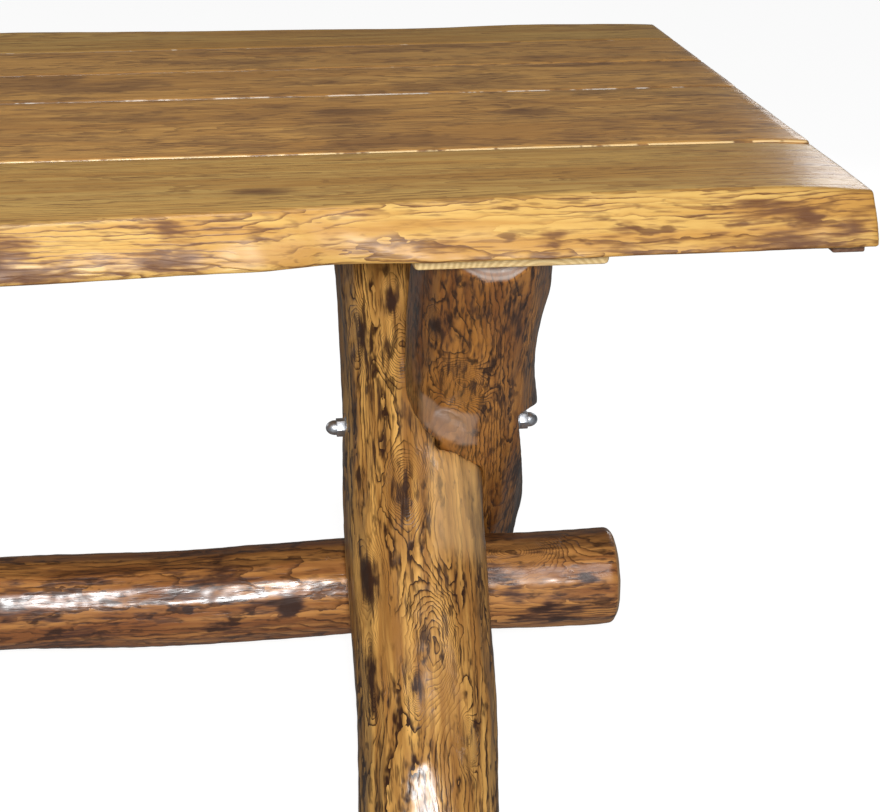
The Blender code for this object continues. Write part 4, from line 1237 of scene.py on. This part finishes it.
# Washers and cap nuts
# Bright zinc-plated steel: an M12 cap nut with a turned dome is drawn up on a flat washer at each end of the
# rod through a crossing.
ZINC_CLOUDS = Field(300.0, 300.0, 3.0)
ZINC_DARK = (0.60, 0.64, 0.70, 1.0)
ZINC_BRIGHT = (0.86, 0.89, 0.94, 1.0)
zinc, tree, output = new_material("zinc")
clouds = cloudy(tree, add_node(tree, "TexCoord")["Object"], ZINC_CLOUDS)
metal = {
    "Base Color": tinted(tree, clouds, ZINC_DARK, ZINC_BRIGHT),
    "Roughness": weighed(tree, clouds, 0.25, 0.32),
    "Metallic": 1.0,
}
tree.links.new(add_node(tree, "BsdfPrincipled", metal)[0], output.inputs["Surface"])

WASHER_HOLE = 0.0063
WASHER_RIM = 0.0120
WASHER_THICKNESS = 0.0025
WASHER_STEPS = 40
NUT_ACROSS = 0.019
NUT_HEIGHT = 0.010
NUT_EASING = 0.0006
DOME_RADIUS = 0.0085
DOME_FOOT = 0.006
DOME_SPRING = 0.0115
DOME_TOP = 0.022
DOME_ROWS = 10
DOME_STEPS = 36
SHARP_ANGLE = math.radians(35.0)


def turned_bmesh(corners, closed, steps):
    """A row of joined corners, given as radius and height, turned once round the Z axis."""
    bm = bmesh.new()
    outline = [bm.verts.new((radius, 0.0, height)) for radius, height in corners]
    following = outline[1:] + outline[:1] if closed else outline[1:]
    for first, second in zip(outline, following):
        bm.edges.new((first, second))
    bmesh.ops.spin(
        bm, geom=bm.verts[:] + bm.edges[:], cent=(0.0, 0.0, 0.0), axis=(0.0, 0.0, 1.0), angle=math.tau,
        steps=steps, use_merge=True)
    bmesh.ops.remove_doubles(bm, verts=bm.verts, dist=0.00001)
    return bm


def washer_mesh():
    """A flat washer on height 0, its rim rounded by the press."""
    corners = (
        (WASHER_HOLE, 0.0),
        (WASHER_HOLE, WASHER_THICKNESS),
        (WASHER_RIM - 0.0004, WASHER_THICKNESS),
        (WASHER_RIM, WASHER_THICKNESS - 0.0005),
        (WASHER_RIM, 0.0004),
        (WASHER_RIM - 0.0003, 0.0),
    )
    return plain_mesh("washer", turned_bmesh(corners, True, WASHER_STEPS))


def cap_nut_mesh():
    """A cap nut on height 0: a hexagon with worn corners under a turned dome."""
    bm = rod_bmesh(NUT_ACROSS / math.sqrt(3.0), 6, 0.0, NUT_HEIGHT)
    ease(bm, bm.edges[:], NUT_EASING, 2)
    corners = [(0.0, DOME_FOOT), (DOME_RADIUS, DOME_FOOT), (DOME_RADIUS, DOME_SPRING)]
    for row in range(1, DOME_ROWS):
        angle = math.radians(90.0) * row / DOME_ROWS
        rise = (DOME_TOP - DOME_SPRING) * math.sin(angle)
        corners.append((DOME_RADIUS * math.cos(angle), DOME_SPRING + rise))
    corners.append((0.0, DOME_TOP))
    dome = plain_mesh("dome", turned_bmesh(corners, False, DOME_STEPS))
    return carve(plain_mesh("hexagon", bm), [dome], operation="UNION")


for side_name, side in (("right", 1), ("left", -1)):
    for place_name, direction in (("inner", -side), ("outer", side)):
        for kind, steel in (("washer", washer_mesh()), ("cap_nut", cap_nut_mesh())):
            node_name = f"{side_name}_{place_name}_{kind}"
            low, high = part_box(node_name)
            seat = Matrix.Translation((low.x if direction > 0 else high.x, 0.0, CROSSING_Z))
            steel.name = node_name + "_steel"
            steel.transform(seat @ Matrix.Rotation(direction * math.pi / 2.0, 4, "Y"))
            steel.materials.clear()
            steel.materials.append(zinc)
            steel.shade_smooth()
            steel.set_sharp_from_angle(angle=SHARP_ANGLE)
            show(steel, node_name)


# Rods and screws
# Threaded rods inside the crossings, coach screws in the leg heads and the stretcher, and wood screws up
# through the bearers and battens. They are plain zinc-plated steel that hardly shows, so the CAD solids stay
# as they are.
for node_name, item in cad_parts.items():
    if node_name.endswith("_cross_rod") or "_screw" in node_name:
        item.data.materials.clear()
        item.data.materials.append(zinc)
